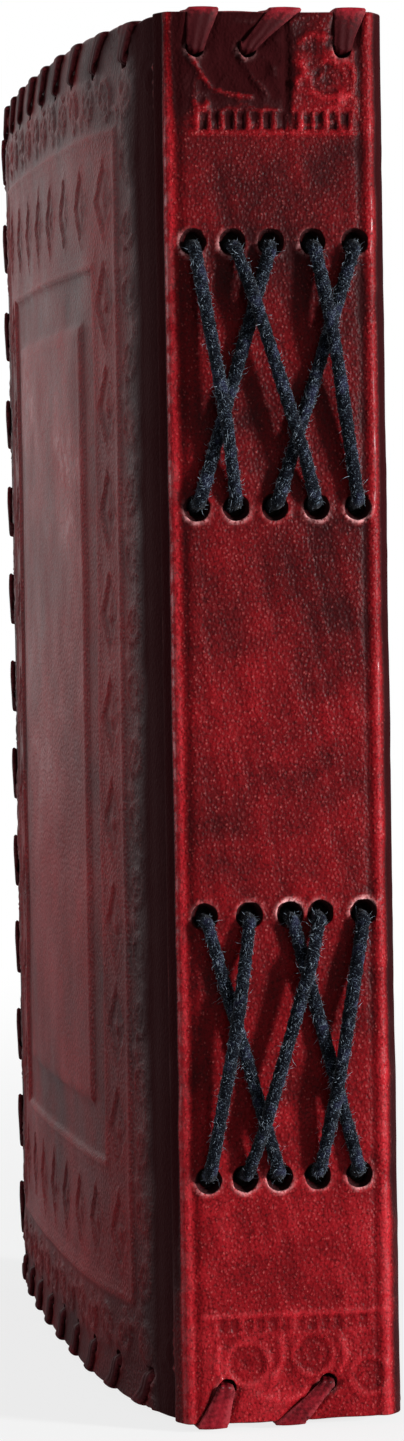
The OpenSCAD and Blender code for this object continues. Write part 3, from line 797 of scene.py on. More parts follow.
@dataclass
class Sheet:
    """A closed sheet of leather: a fine face with relief, a rounded rim and a plain back.

    The face is a grid whose rows have a constant t. Where a hole is punched, the quads round
    it are left out and rings lead from their border to the hole and down its wall.
    """

    place: Place
    height: Field
    outline: Callable[[float], tuple[float, float]]
    low_t: float
    high_t: float
    corner_r: float
    thick: float
    step: float
    back_step: float
    holes: tuple[Hole, ...] = ()
    edge: float = 0.45
    wave: float = 0.0
    shade: Field | None = None

    def build(self) -> Shell:
        """Builds the sheet.

        Returns:
            The shell, with the values relief, torn and cut at its points.
        """
        shell = Shell(("relief", "torn", "cut"))
        s, t = self._domain(self.step)
        front = self._punched(shell, s, t, 1.0, [h.radius for h in self.holes])
        s_back, t_back = self._domain(self.back_step)
        back = self._punched(shell, s_back, t_back, -1.0, [h.back_radius for h in self.holes])
        self._walls(shell, front[1], back[1])
        self._rim(shell, (s, t), front[0], (s_back, t_back), back[0])
        return shell

    def _domain(self, step: float) -> tuple[Array, Array]:
        """The grid's own coordinates, drawn in by the rim's width, finer at the corners."""
        low, high = self.low_t + self.edge, self.high_t - self.edge
        if self.corner_r > 0:
            r = self.corner_r - self.edge
            turn = np.linspace(0, math.pi / 2, max(4, int(r * 1.5 / step)) + 1)
            bend = r * (1 - np.cos(turn))
            middle = np.linspace(low + r, high - r, int((high - low - 2 * r) / step) + 1)
            t = np.concatenate([low + bend[:-1], middle, (high - bend[::-1])[1:]])
        else:
            t = np.linspace(low, high, int((high - low) / step) + 1)
        ends = np.array([self.outline(z) for z in t])
        cols = int(np.ptp(ends) / step) + 1
        share = np.linspace(0, 1, cols)[None, :]
        s = ends[:, :1] * (1 - share) + ends[:, 1:] * share
        return s, np.repeat(t[:, None], cols, axis=1)

    def _level(self, s: Array, t: Array, side: float) -> tuple[Array, dict[str, Array]]:
        """Height of the face or the back, and the values there."""
        if side < 0:
            return np.full(s.shape, -self.thick), {"relief": np.full(s.shape, -0.2)}
        h = self.height(s, t)
        lift, torn = np.zeros(s.shape), np.zeros(s.shape)
        for hole in self.holes:
            away = np.hypot(s - hole.s, t - hole.t)
            near = away < hole.radius + 3.5
            turn = np.arctan2(t[near] - hole.t, s[near] - hole.s)
            facing = 0.5 + 0.5 * np.cos(turn - hole.torn_at)
            ragged = 0.6 + 0.4 * value_noise(turn * 3.0 + 20, away[near], 1.0, hole.seed)
            beyond = away[near] - hole.radius
            lift[near] += hole.lip * ragged * (0.25 + facing) * bump(beyond - 0.35, 0.55)
            lift[near] -= 0.25 * hole.lip * bump(beyond, 1.6)
            torn[near] = np.maximum(
                torn[near], hole.torn * facing**2.5 * ragged**1.5 * bump(beyond - 0.05, 0.42)
            )
        tone = self.shade(s, t) if self.shade else h * 1.6
        return h + lift, {"relief": tone + lift, "torn": torn}

    def _punched(
        self, shell: Shell, s: Array, t: Array, side: float, radii: list[float]
    ) -> tuple[Array, list]:
        """Adds one face of the sheet with its holes left open.

        Returns:
            The grid of indices, and for each hole its ring of indices and the ring's angles.
        """
        level, values = self._level(s, t, side)
        index = shell.add(self.place(s, t, level), **values)
        keep = np.ones((s.shape[0] - 1, s.shape[1] - 1), bool)
        rings = []
        for hole, radius in zip(self.holes, radii):
            reach = radius + 0.06
            i0 = int(np.searchsorted(t[:, 0], hole.t - reach, "right")) - 1
            i1 = int(np.searchsorted(t[:, 0], hole.t + reach, "left"))
            row = s[(i0 + i1) // 2]
            j0 = int(np.searchsorted(row, hole.s - reach, "right")) - 1
            j1 = int(np.searchsorted(row, hole.s + reach, "left"))
            keep[i0:i1, j0:j1] = False
            loop = [(i0, j) for j in range(j0, j1)] + [(i, j1) for i in range(i0, i1)]
            loop += [(i1, j) for j in range(j1, j0, -1)] + [(i, j0) for i in range(i1, i0, -1)]
            i, j = np.array(loop).T
            rings.append(self._ring(shell, hole, radius, index[i, j], s[i, j], t[i, j], side))
        shell.grid(index if side > 0 else index[:, ::-1], keep if side > 0 else keep[:, ::-1])
        return index, rings

    def _ring(
        self, shell: Shell, hole: Hole, radius: float, border: Array, s: Array, t: Array, side: float
    ) -> tuple[Array, Array]:
        """Leads from the border of the quads left out to the hole's own edge."""
        turn = np.arctan2(t - hole.t, s - hole.s)
        uneven = 1.0 + 0.06 * value_noise(turn * 2.0 + 9, turn * 0 + hole.seed, 1.0, hole.seed + 5)
        to_s = hole.s + radius * uneven * np.cos(turn)
        to_t = hole.t + radius * uneven * np.sin(turn)
        rows = [border]
        for share in (0.3, 0.6, 0.82, 1.0) if side > 0 else (1.0,):
            ring_s, ring_t = s + (to_s - s) * share, t + (to_t - t) * share
            level, values = self._level(ring_s, ring_t, side)
            rows.append(shell.add(self.place(ring_s, ring_t, level), **values))
        stack = np.stack(rows)
        shell.grid(stack if side > 0 else stack[::-1], around=True)
        return rows[-1], turn

    def _walls(self, shell: Shell, front: list, back: list) -> None:
        """Joins the two edges of each hole by its wall."""
        for hole, (top, top_at), (foot, foot_at) in zip(self.holes, front, back):
            rows = [top]
            for depth, share in ((0.35, 0.99), (0.55 * self.thick, 0.93)):
                r = hole.radius * share
                s, t = hole.s + r * np.cos(top_at), hole.t + r * np.sin(top_at)
                level = np.full(s.shape, -depth)
                # Painted shade: the walls take the darkest hollow colour, as shade inside the hole.
                shown = {"relief": np.full(s.shape, -1.0), "cut": np.full(s.shape, 0.1)}
                rows.append(shell.add(self.place(s, t, level), **shown))
            shell.grid(np.stack(rows), around=True)
            shell.bridge(rows[-1], foot, top_at, foot_at)

    def _rim(self, shell: Shell, face: tuple, index: Array, back: tuple, back_index: Array) -> None:
        """Rounds the face over into the rim and joins the rim to the back."""
        i, j = self._border(index.shape)
        s, t = face[0][i, j], face[1][i, j]
        ds, dt = np.roll(s, -1) - np.roll(s, 1), np.roll(t, -1) - np.roll(t, 1)
        size = np.hypot(ds, dt)
        out_s, out_t = dt / size, -ds / size
        level = self.height(s, t)
        wave = self.wave * value_noise(s + t * 0.7, t - s * 0.4, 5.0, 11)
        rows = [index[i, j]]
        for out, depth, cut in ((0.3, 0.12, 0.2), (0.45, 0.45, 0.8), (0.45, -0.45, 0.8), (0.3, -0.12, 0.4)):
            drop = level - depth if depth > 0 else -self.thick - depth
            edge = out * self.edge / 0.45 + wave * out
            points = self.place(s + out_s * edge, t + out_t * edge, drop)
            rows.append(shell.add(points, relief=np.full(s.shape, 0.1), cut=np.full(s.shape, cut)))
        shell.grid(np.stack(rows)[::-1], around=True)
        k, m = self._border(back_index.shape)
        middle = (float(face[0].mean()), (self.low_t + self.high_t) / 2)
        at = np.arctan2(t - middle[1], s - middle[0])
        back_at = np.arctan2(back[1][k, m] - middle[1], back[0][k, m] - middle[0])
        shell.bridge(back_index[k, m], rows[-1], back_at, at)

    @staticmethod
    def _border(shape: tuple[int, int]) -> tuple[Array, Array]:
        """Rows and columns of a grid's border, once round."""
        rows, cols = shape
        loop = [(0, j) for j in range(cols - 1)] + [(i, cols - 1) for i in range(rows - 1)]
        loop += [(rows - 1, j) for j in range(cols - 1, 0, -1)] + [(i, 0) for i in range(rows - 1, 0, -1)]
        i, j = np.array(loop).T
        return i, j


# The pressed patterns.


def scroll_height(u: Array, v: Array, radius: float) -> Array:
    """Height of one curled tendril round the origin, from 0 to 1.

    A ridge follows a spiral whose radius grows with the turn, and a round boss stands at its
    middle.
    """
    away, turn = np.hypot(u, v), np.arctan2(v, u)
    gap = radius / 1.6
    phase = away / gap - turn / (2 * math.pi)
    ridge = bump((phase - np.round(phase)) * gap, 0.62)
    inside = plateau(away, radius, 0.5)
    return np.maximum(ridge * inside * smoothstep(0.8, 1.6, away), bump(away, 0.85))


def petal_height(u: Array, v: Array, half_u: float, half_v: float) -> Array:
    """Four petals that point up, down and sideways in a lozenge, from 0 to 1.

    The petals' edge is the absolute cosine of twice the turn, in a square that the lozenge
    is stretched from.
    """
    p, q = u / half_u, v / half_v
    away, turn = np.hypot(p, q), np.arctan2(q, p)
    edge = 0.62 * np.abs(np.cos(turn * 2)) ** 0.6
    petal = smoothstep(0.0, 0.22, edge - away) * (0.65 + 0.35 * np.cos(away * 9))
    return np.maximum(petal, bump(away, 0.1))


@dataclass(frozen=True)
class CoverPattern:
    """The pressed frame of a cover: scrolls, lozenges, a sunken band and a plain panel."""

    form: Form
    border_w: float = 18.0
    line_w: float = 1.4
    side_band_w: float = 13.0
    end_band_w: float = 22.0
    sunk_band_w: float = 9.5
    lozenge: tuple[float, float] = (10.0, 16.0)
    lozenge_pitch: float = 19.0
    end_lozenge_pitch: float = 16.0
    scroll_r: float = 4.3
    scroll_pitch: float = 12.0
    scroll_gap: float = 1.6
    line_h: float = 0.45
    line_half: float = 0.62
    hair_h: float = 0.16
    hair_half: float = 0.4
    hair_off: float = 1.6
    sunk_h: float = 0.26
    panel_h: float = 0.42
    lozenge_h: float = 0.34
    lozenge_line_h: float = 0.18
    petal_h: float = 0.45
    scroll_h: float = 0.46
    border_sunk_h: float = 0.16
    lace_band_h: float = 0.22
    hinge_h: float = 0.6
    hinge_half: float = 2.2
    seed: int = 3

    def height(self, s: Array, t: Array) -> Array:
        """Relief of the cover in millimetres.

        Args:
            s: Depth y.
            t: Height z.

        Returns:
            Height over the plain face.
        """
        form = self.form
        a, b = s - form.spine_d, t - form.tail_z
        side, end = np.minimum(a, form.cover_d - a), np.minimum(b, form.cover_h - b)
        line_1 = self.border_w + self.line_w / 2
        side_2 = self.border_w + 1.5 * self.line_w + self.side_band_w
        end_2 = self.border_w + 1.5 * self.line_w + self.end_band_w
        in_1 = np.minimum(side, end) - line_1
        in_2 = np.minimum(side - side_2, end - end_2)
        in_3 = in_2 - self.line_w / 2 - self.sunk_band_w
        line, hair = self.line_half, self.hair_half
        h = self.line_h * bump(in_1, line) + self.line_h * bump(in_2, line)
        h += self.hair_h * bump(in_1 - self.hair_off, hair) + self.hair_h * bump(in_2 + self.hair_off, hair)
        h -= self.sunk_h * smoothstep(0.6, 1.3, in_2) * smoothstep(0.5, -0.3, in_3)
        h += self.panel_h * smoothstep(-0.4, 1.1, in_3) + 0.12 * bump(in_3 - 2.2, 0.5)
        h += self._lozenges(a, b, in_1, in_2)
        h += self._scrolls(a, b, in_1)
        return h + self._wear(s, t)

    def _lozenges(self, a: Array, b: Array, in_1: Array, in_2: Array) -> Array:
        """The sunk lozenges of the band, with four raised petals in each."""
        form = self.form
        band = smoothstep(0.5, 1.2, in_1) * smoothstep(-0.5, -1.2, in_2)
        edge = self.border_w + self.line_w
        mid_a, mid_b = edge + self.side_band_w / 2, edge + self.end_band_w / 2
        rows = round((form.cover_h - 2 * mid_b) / self.lozenge_pitch)
        cols = round((form.cover_d - 2 * mid_a) / self.end_lozenge_pitch)
        step_b = (form.cover_h - 2 * mid_b) / rows
        step_a = (form.cover_d - 2 * mid_a) / cols
        side_a = np.minimum(a, form.cover_d - a) - mid_a
        side_b = np.mod(b - mid_b + step_b / 2, step_b) - step_b / 2
        end_a = np.mod(a - mid_a + step_a / 2, step_a) - step_a / 2
        end_b = np.minimum(b, form.cover_h - b) - mid_b
        column = np.abs(end_b) > self.end_band_w / 2
        u = np.where(column, side_a, end_a)
        v = np.where(column, side_b, end_b)
        half_u = self.lozenge[0] / 2 + 0.6
        half_v = np.where(column, self.lozenge[1] / 2, self.lozenge[1] / 2 - 0.6)
        inside = 1.0 - np.abs(u) / half_u - np.abs(v) / half_v
        line = self.lozenge_line_h * bump(inside + 0.03, 0.07)
        sunk = -self.lozenge_h * smoothstep(0.0, 0.2, inside) + line
        petals = self.petal_h * petal_height(u, v, half_u, half_v)
        return band * (sunk + petals)

    def _scrolls(self, a: Array, b: Array, in_1: Array) -> Array:
        """The running scrolls of the outer border, turned end for end one after another."""
        form = self.form
        inset = self.border_w - self.scroll_r - self.scroll_gap
        band = smoothstep(-0.5, -1.4, in_1)
        total = np.zeros(a.shape)
        for along, across, length in (
            (b, np.minimum(a, form.cover_d - a), form.cover_h),
            (a, np.minimum(b, form.cover_h - b), form.cover_d),
        ):
            count = round((length - 2 * inset) / self.scroll_pitch)
            pitch = (length - 2 * inset) / count
            place = (along - inset) / pitch
            number = np.round(place)
            flip = np.where(np.mod(number, 2) > 0.5, -1.0, 1.0)
            u, v = (place - number) * pitch, (across - inset) * flip
            curl = scroll_height(u, v, self.scroll_r - 0.4)
            wave = np.sin(place * math.pi) * 2.4
            stem = bump(across - inset - wave, 0.55) * 0.8
            leaf = bump(np.hypot(u - 5.2, v * 0.6 - 1.6), 1.3) * 0.8
            mask = (np.abs(across - inset) < self.scroll_r + 2) * 1.0
            total = np.maximum(total, mask * np.maximum(np.maximum(curl, stem), leaf))
        return band * (self.scroll_h * total - self.border_sunk_h)

    def tone(self, s: Array, t: Array) -> Array:
        """How light the colour is: the dye worn lighter on the bands and the panel, and painted shade towards
        the crease.
        """
        a, b = s - self.form.spine_d, t - self.form.tail_z
        side, end = np.minimum(a, self.form.cover_d - a), np.minimum(b, self.form.cover_h - b)
        inner = smoothstep(self.border_w - 2, self.border_w + 3, np.minimum(side, end))
        # Painted shade towards the crease, where the fold lies in shade.
        crease = smoothstep(8.0, 3.0, a) + 0.6 * smoothstep(16.0, 6.0, a)
        patch = 0.18 * value_noise(s, t, 19.0, self.seed + 9) + 0.12 * value_noise(s, t, 6.0, self.seed + 10)
        return self.height(s, t) * 0.4 - 0.10 + 0.20 * inner - 0.6 * crease + patch

    def _wear(self, s: Array, t: Array) -> Array:
        """Soft dents, the band that the lace presses down and the valley beside the crease."""
        form = self.form
        dents = 0.16 * value_noise(s, t, 21.0, self.seed) + 0.05 * value_noise(s, t, 5.0, self.seed + 1)
        hinge = s - form.spine_d
        side = np.minimum(hinge, form.cover_d - hinge)
        end = np.minimum(t - form.tail_z, form.head_z - t)
        dents = dents - self.lace_band_h * smoothstep(8.6, 6.4, np.minimum(side, end))
        return dents - self.hinge_h * bump(hinge, self.hinge_half) - 0.12 * bump(hinge - 5.5, 2.4)


@dataclass(frozen=True)
class SpinePattern:
    """The pressed pattern of the spine, with bands of teeth and curling leaves at its ends."""

    form: Form
    head_teeth: tuple[float, float] = (231.5, 234.5)
    tail_teeth: tuple[float, float] = (17.7, 20.2)
    tooth_pitch: float = 2.35
    bead_s: float = 19.1
    bead_w: float = 1.0
    bead_h: float = 0.42
    right_bead_s: float = 17.6
    right_bead_w: float = 1.4
    left_groove_s: float = 17.2
    left_groove_h: float = 0.16
    groove_s: float = 15.7
    groove_h: float = 0.30
    groove_w: float = 0.7
    crease_h: float = 0.8
    crease_w: float = 2.6
    worn_h: float = 0.34
    trough_h: float = 0.45
    tooth_h: float = 0.36
    line_h: float = 0.34
    line_half: float = 0.42
    sprig_h: float = 0.42
    sprig_half: float = 0.55
    ring_h: float = 0.34
    nick_pitch: float = 1.25
    nick_h: float = 0.22
    head_crease_s: float = 2.5
    head_crease_h: float = 0.55
    leaf: tuple = ((-15.0, 244.6), (-13.1, 241.8), (-10.9, 238.9), (-7.7, 237.8), (-3.9, 237.3))
    leaf_2: tuple = ((-6.2, 245.6), (-3.9, 241.3), (-0.9, 237.8))
    sprigs: tuple = (
        ((-1.4, 244.3), (0.2, 242.8), (0.6, 241.2)),
        ((4.2, 239.8), (5.6, 241.6), (4.9, 243.0)),
        ((13.0, 243.6), (14.6, 242.4), (15.0, 240.6)),
        ((12.2, 236.6), (14.0, 237.4), (15.2, 236.4)),
        ((-14.4, 236.4), (-13.0, 235.4), (-11.8, 236.2)),
        ((5.0, 246.8), (7.0, 248.4), (9.4, 247.6)),
    )
    tail_sprigs: tuple = (
        ((-13.6, 15.0), (-13.9, 11.5), (-12.6, 8.4)),
        ((-2.2, 16.4), (-2.0, 12.6), (-3.6, 9.2)),
        ((8.6, 16.2), (9.6, 12.6), (8.4, 9.6)),
        ((-6.0, 6.0), (-2.0, 5.2), (2.4, 6.2)),
    )
    laces: tuple = (
        (-13.9, 1.5, 245.9, 252.4), (-4.5, 6.5, 245.9, 252.4), (12.75, 1.5, 245.9, 252.4),
        (6.5, -6.5, 7.9, 1.4), (-12.0, -2.5, 7.9, 1.4),
    )
    rings: tuple = ((10.0, 240.3, 3.4), (-8.3, 12.0, 3.9), (3.8, 13.2, 3.7), (14.0, 8.9, 3.4))

    def height(self, s: Array, t: Array) -> Array:
        """Relief of the spine in millimetres.

        Args:
            s: Place round the spine, x on its flat.
            t: Height z.

        Returns:
            Height over the plain face.
        """
        left = s < 0
        bead_s = np.where(left, self.bead_s, self.right_bead_s)
        groove_s = np.where(left, self.left_groove_s, self.groove_s)
        h = self.bead_h * bump(np.abs(s) - bead_s, np.where(left, self.bead_w, self.right_bead_w))
        h -= np.where(left, self.left_groove_h, self.groove_h) * bump(np.abs(s) - groove_s, self.groove_w)
        run = self.form.spine_run
        h -= self.crease_h * smoothstep(run - self.crease_w, run, np.abs(s))
        h += self._teeth(s, t) + self._leaves(s, t)
        h += 0.10 * value_noise(s, t, 9.0, 21) + 0.05 * value_noise(s, t, 3.0, 22)
        h += 0.08 * value_noise(s * 1.6 + t * 0.35, t * 0.22, 2.6, 23) * plateau(s, 14.0, 1.5)
        worn = plateau(t - 241.0, 9.0, 2.0) * plateau(s, 14.5, 2.0)
        h += worn * self.worn_h * (1 - np.abs(value_noise(s, t, 2.6, 24)) * 3.0).clip(0, 1)
        for x, lean, low, high in self.laces:
            share = ((t - low) / (high - low)).clip(0, 1)
            away = np.abs(s - x - lean * share)
            on = smoothstep(-0.6, 0.3, (t - low) * np.sign(high - low))
            h -= self.trough_h * on * smoothstep(3.2, 2.4, away)
        return h

    def _teeth(self, s: Array, t: Array) -> Array:
        """Two rows of small sunk teeth between raised dividers, over a raised line."""
        total = np.zeros(s.shape)
        for (low, high), depth in ((self.head_teeth, 1.0), (self.tail_teeth, 0.35)):
            place = np.mod(s + 0.15 * value_noise(s, t, 4.0, 31), self.tooth_pitch) / self.tooth_pitch
            gap = smoothstep(0.20, 0.32, place) * smoothstep(0.98, 0.86, place)
            band = smoothstep(low - 0.2, low + 0.25, t) * smoothstep(high + 0.2, high - 0.25, t)
            band = band * plateau(s, 14.0, 0.6)
            total += depth * band * (self.tooth_h - 2 * self.tooth_h * gap)
            total += self.line_h * depth * bump(t - low + 0.55, self.line_half) * plateau(s, 15.2, 0.6)
            wide = plateau(s, 15.2 + 2 * (1 - depth), 0.6)
            total += (0.5 - 0.36 * depth) * bump(t - high - 0.45, self.line_half) * wide
        return total

    def _leaves(self, s: Array, t: Array) -> Array:
        """Leaf ridges, curls and rings at the two ends, and the crease at the head."""
        total = np.zeros(s.shape)
        for points, lift, wide in ((self.leaf, 0.75, 0.62), (self.leaf_2, 0.5, 0.6)):
            line = smooth_line(np.array(points), 6)
            total += lift * bump(line_distance(s, t, line), wide)
        for points in (*self.sprigs, *self.tail_sprigs):
            line = smooth_line(np.array(points), 5)
            total += self.sprig_h * bump(line_distance(s, t, line), self.sprig_half)
        for x, z, r in self.rings:
            away = np.hypot(s - x, t - z)
            broken = 0.65 + 0.35 * value_noise(s, t, 2.2, int(x + 30))
            total += self.ring_h * broken * bump(away - r, 0.5) - 0.14 * plateau(away, r - 1.1, 0.8)
            total += 0.22 * broken * bump(away - r * 0.42, 0.55)
        sunk = plateau(s + 4.5, 6.5, 3.0) * plateau(t - 243.5, 4.5, 3.0)
        total -= 0.35 * sunk * (1 - plateau(s - 10.0, 5.0, 2.0))
        nicks = np.mod(s, self.nick_pitch) / self.nick_pitch
        nicks = smoothstep(0.3, 0.5, nicks) * smoothstep(0.9, 0.7, nicks)
        for s0, t0, half in ((-3.0, 246.8, 4.5), (8.5, 246.5, 3.5), (-0.5, 6.0, 4.0)):
            total += self.nick_h * nicks * plateau(s - s0, half, 1.0) * plateau(t - t0, 1.2, 0.8)
        crease = bump(s - self.head_crease_s - 0.25 * value_noise(t, s * 0, 6.0, 41), 0.55)
        return total - self.head_crease_h * crease * smoothstep(229.0, 232.5, t)

    def tone(self, s: Array, t: Array) -> Array:
        """How light the colour is: dark in the pressed hollows, with painted shade over the head's left part,
        and painted light and shade along the spine and its folds.
        """
        h = self.height(s, t)
        # Painted shade over the left part of the head.
        shade = -0.55 * smoothstep(228.0, 238.0, t) * smoothstep(7.0, 0.5, s)
        # Painted light: lighter towards the tail and darker towards the head.
        painted_light_and_shade = 0.32 * smoothstep(100.0, 20.0, t) - 0.16 * smoothstep(90.0, 225.0, t)
        # Painted shade on the left fold, which faces away from the key lamp.
        painted_light_and_shade = painted_light_and_shade - 1.6 * smoothstep(-19.7, -20.6, s) * (0.3 + 0.7 * smoothstep(10.0, 60.0, t))
        # A painted highlight on the left bead; the right fold is darkened, which also keeps the glaze off it.
        painted_light_and_shade = painted_light_and_shade + 0.75 * bump(s + 19.0, 1.0) - 0.75 * smoothstep(17.4, 19.4, s)
        patch = 0.10 * value_noise(s, t, 13.0, 51) + 0.12 * value_noise(s, t, 4.0, 52)
        return h * 1.15 + shade + painted_light_and_shade + patch


# The pieces.


@dataclass
class Hides:
    """The spine's hide and both covers, with their linings."""

    form: Form
    columns: tuple = (
        (211.65, (-14.9, -7.8, -0.8, 6.8, 14.5)),
        (164.65, (-14.9, -7.8, -0.8, 6.8, 14.3)),
        (92.15, (-14.8, -6.6, 0.8, 6.3, 14.2)),
        (45.15, (-14.8, -8.1, -1.8, 5.1, 12.8)),
    )
    tears: tuple = (
        (1.3, 0.9, 0.2, 0.9, 0.3),
        (0.9, 0.8, 0.2, 1.0, 1.3),
        (0.3, 0.3, 1.5, 0.3, 1.4),
        (0.8, 0.8, 1.3, 0.3, 0.9),
    )
    torn_at: tuple = (-2.4, -1.7, 1.9, -1.6)
    sewing_r: float = 2.42
    rim: float = 0.45
    lining_rim: float = 0.6
    lining_short: float = 0.15
    lean_share: float = 0.9
    bend: float = 5.0
    pull: float = 0.45

    def build(self) -> None:
        """Builds all five sheets."""
        suede = Suede().build()
        self._spine(PressedHide("spine_hide").build())
        hide = PressedHide("cover_hide", specular=0.075).build()
        for body, side, seed in ((Body.FRONT, 1, 3), (Body.BACK, -1, 8)):
            self._cover(body, side, seed, hide, suede)

    def _spine(self, hide: bpy.types.Material) -> None:
        """Builds the spine's hide, with its sewing holes and lace holes."""
        form = self.form
        pattern = SpinePattern(form)
        holes = [
            Hole(x, z, self.sewing_r, 1.5, ragged, 0.3 + 0.2 * ragged, torn_at, int(40 + z + x))
            for (z, row), tears, torn_at in zip(self.columns, self.tears, self.torn_at)
            for x, ragged in zip(row, tears)
        ]
        head, tail = form.head_z - form.lace_inset, form.tail_z + form.lace_inset
        for z, row in ((head, form.head_laces), (tail, form.tail_laces)):
            holes += [Hole(x, z, form.lace_hole_d / 2, 1.4, torn=0.35, lip=0.3, seed=int(9 + x)) for x in row]
        sheet = Sheet(
            place=form.spine_place, height=pattern.height, shade=pattern.tone,
            outline=lambda z: (-form.spine_run + 0.3, form.spine_run - 0.3),
            low_t=form.tail_z, high_t=form.head_z, corner_r=0.0, thick=form.leather_t,
            step=0.52, back_step=1.1, holes=tuple(holes), edge=0.3, wave=0.25,
        )
        piece = sheet.build().write("spine_hide", hide, form.shift_y)
        finish_piece(piece, "spine_leather")
        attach(piece, Body.BINDING.value)

    def _edge_holes(self, torn: float) -> tuple[Hole, ...]:
        """The lace holes of a cover."""
        edge, radius, holes = Edge(self.form), self.form.lace_hole_d / 2, []
        for i in range(edge.count):
            y, z = edge.yz(edge.hole_u(i), self.form.lace_inset)
            holes.append(Hole(float(y), float(z), radius, 1.3, torn=torn, lip=0.2, seed=i))
        return tuple(holes)

    def _outline(self, z: float, edge: float) -> tuple[float, float]:
        """Depths between which a cover lies at height z, drawn in by the rim's width."""
        form = self.form
        r = form.corner_r - edge
        short = min(z - form.tail_z, form.head_z - z) - edge
        back = form.fore_y - edge
        if short < r:
            back -= r - math.sqrt(max(r * r - (r - short) ** 2, 0.0))
        return form.spine_d + form.crease_gap / 2 + edge, back

    def _cover(
        self, body: Body, side: int, seed: int, hide: bpy.types.Material, suede: bpy.types.Material
    ) -> None:
        """Builds one cover's hide and lining, which start from the spine at the crease."""
        form = self.form
        pattern = CoverPattern(form, seed=seed)
        edge = Edge(form)
        leans = side * form.lace_lean * self.lean_share
        spots = [edge.yz(edge.hole_u(i) + leans, 0.0) for i in range(edge.count)]
        face = form.cover_place(side, np.array(spots), self.pull)
        sheet = Sheet(
            place=face, height=pattern.height, outline=lambda z: self._outline(z, self.rim),
            low_t=form.tail_z, high_t=form.head_z, corner_r=form.corner_r, thick=form.leather_t,
            step=0.84, back_step=1.7, holes=self._edge_holes(0.3), wave=0.35, shade=pattern.tone,
        )
        name = body.value
        outer = sheet.build().write(f"{name}_hide", hide, form.shift_y)
        finish_piece(outer, f"{name}_leather")

        def inner(s: Array, t: Array, n: Array) -> Array:
            return face(s, t, -form.cover_t - n)

        def nap(s: Array, t: Array) -> Array:
            return 0.10 * value_noise(s, t, 17.0, seed + 60) + 0.04 * value_noise(s, t, 4.0, seed + 61)

        lining = Sheet(
            place=inner, height=nap, outline=lambda z: self._outline(z, self.lining_rim),
            low_t=form.tail_z + self.lining_short, high_t=form.head_z - self.lining_short,
            corner_r=form.corner_r, thick=form.lining_t,
            step=1.5, back_step=2.4, holes=self._edge_holes(0.0), wave=0.3,
        )
        skin = lining.build().write(f"{name}_skin", suede, form.shift_y)
        finish_piece(skin, f"{name}_lining")
        for piece in (outer, skin):
            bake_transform(piece)


@dataclass(frozen=True)
class Edge:
    """The edge of a cover, followed from the head end of the crease to its tail end."""

    form: Form

    @property
    def straight(self) -> float:
        """Length of the head edge before its corner."""
        return self.form.cover_d - self.form.corner_r

    @property
    def corner(self) -> float:
        """Length of a corner's arc."""
        return self.form.corner_r * math.pi / 2

    @property
    def fore(self) -> float:
        """Length of the fore edge between its corners."""
        return self.form.cover_h - 2 * self.form.corner_r

    @property
    def length(self) -> float:
        """Length of the whole edge."""
        return 2 * self.straight + 2 * self.corner + self.fore

    @property
    def span(self) -> float:
        """Length from the first lace hole to the last."""
        return self.length - self.form.lace_first - self.form.lace_last

    @property
    def count(self) -> int:
        """Number of lace holes."""
        return round(self.span / self.form.lace_pitch) + 1

    @property
    def step(self) -> float:
        """Distance from one lace hole to the next."""
        return self.span / (self.count - 1)

    @property
    def head_count(self) -> int:
        """Number of holes along the head edge."""
        return int((self.straight + self.corner / 2 - self.form.lace_first) / self.step) + 1

    @property
    def fore_count(self) -> int:
        """Number of holes along the head and fore edges."""
        return int((self.straight + 1.5 * self.corner + self.fore - self.form.lace_first) / self.step) + 1

    def hole_u(self, i: int) -> float:
        """Place of lace hole i along the edge."""
        return self.form.lace_first + self.step * i

    def yz(self, u: Array | float, w: Array | float) -> Array:
        """The point at u along the edge and w in from it, as depth and height.

        The straight edges run along y and z, and the corners are arcs about their middles,
        where a lace outside the edge stands off by what its flat width needs.
        """
        form = self.form
        u, w = np.broadcast_arrays(np.asarray(u, float), np.asarray(w, float))
        ease = form.lace_w**2 / (8 * form.corner_r)
        out = form.corner_r - w + np.where(w < 0, ease, 0.0)
        middle = form.spine_d + self.straight
        head = u - self.straight
        tail = head - self.corner - self.fore
        up = math.pi / 2 - head / form.corner_r
        down = -tail / form.corner_r
        low = form.tail_z
        spots = [
            (head < 0, form.spine_d + u, form.head_z - w),
            (head < self.corner, middle + out * np.cos(up), form.head_z - form.corner_r + out * np.sin(up)),
            (tail < 0, form.fore_y - w, low + form.corner_r - tail),
            (tail < self.corner, middle + out * np.cos(down), low + form.corner_r + out * np.sin(down)),
        ]
        y = np.select([k[0] for k in spots], [k[1] for k in spots], form.spine_d + self.length - u)
        z = np.select([k[0] for k in spots], [k[2] for k in spots], low + w)
        return np.stack([y, z], -1)


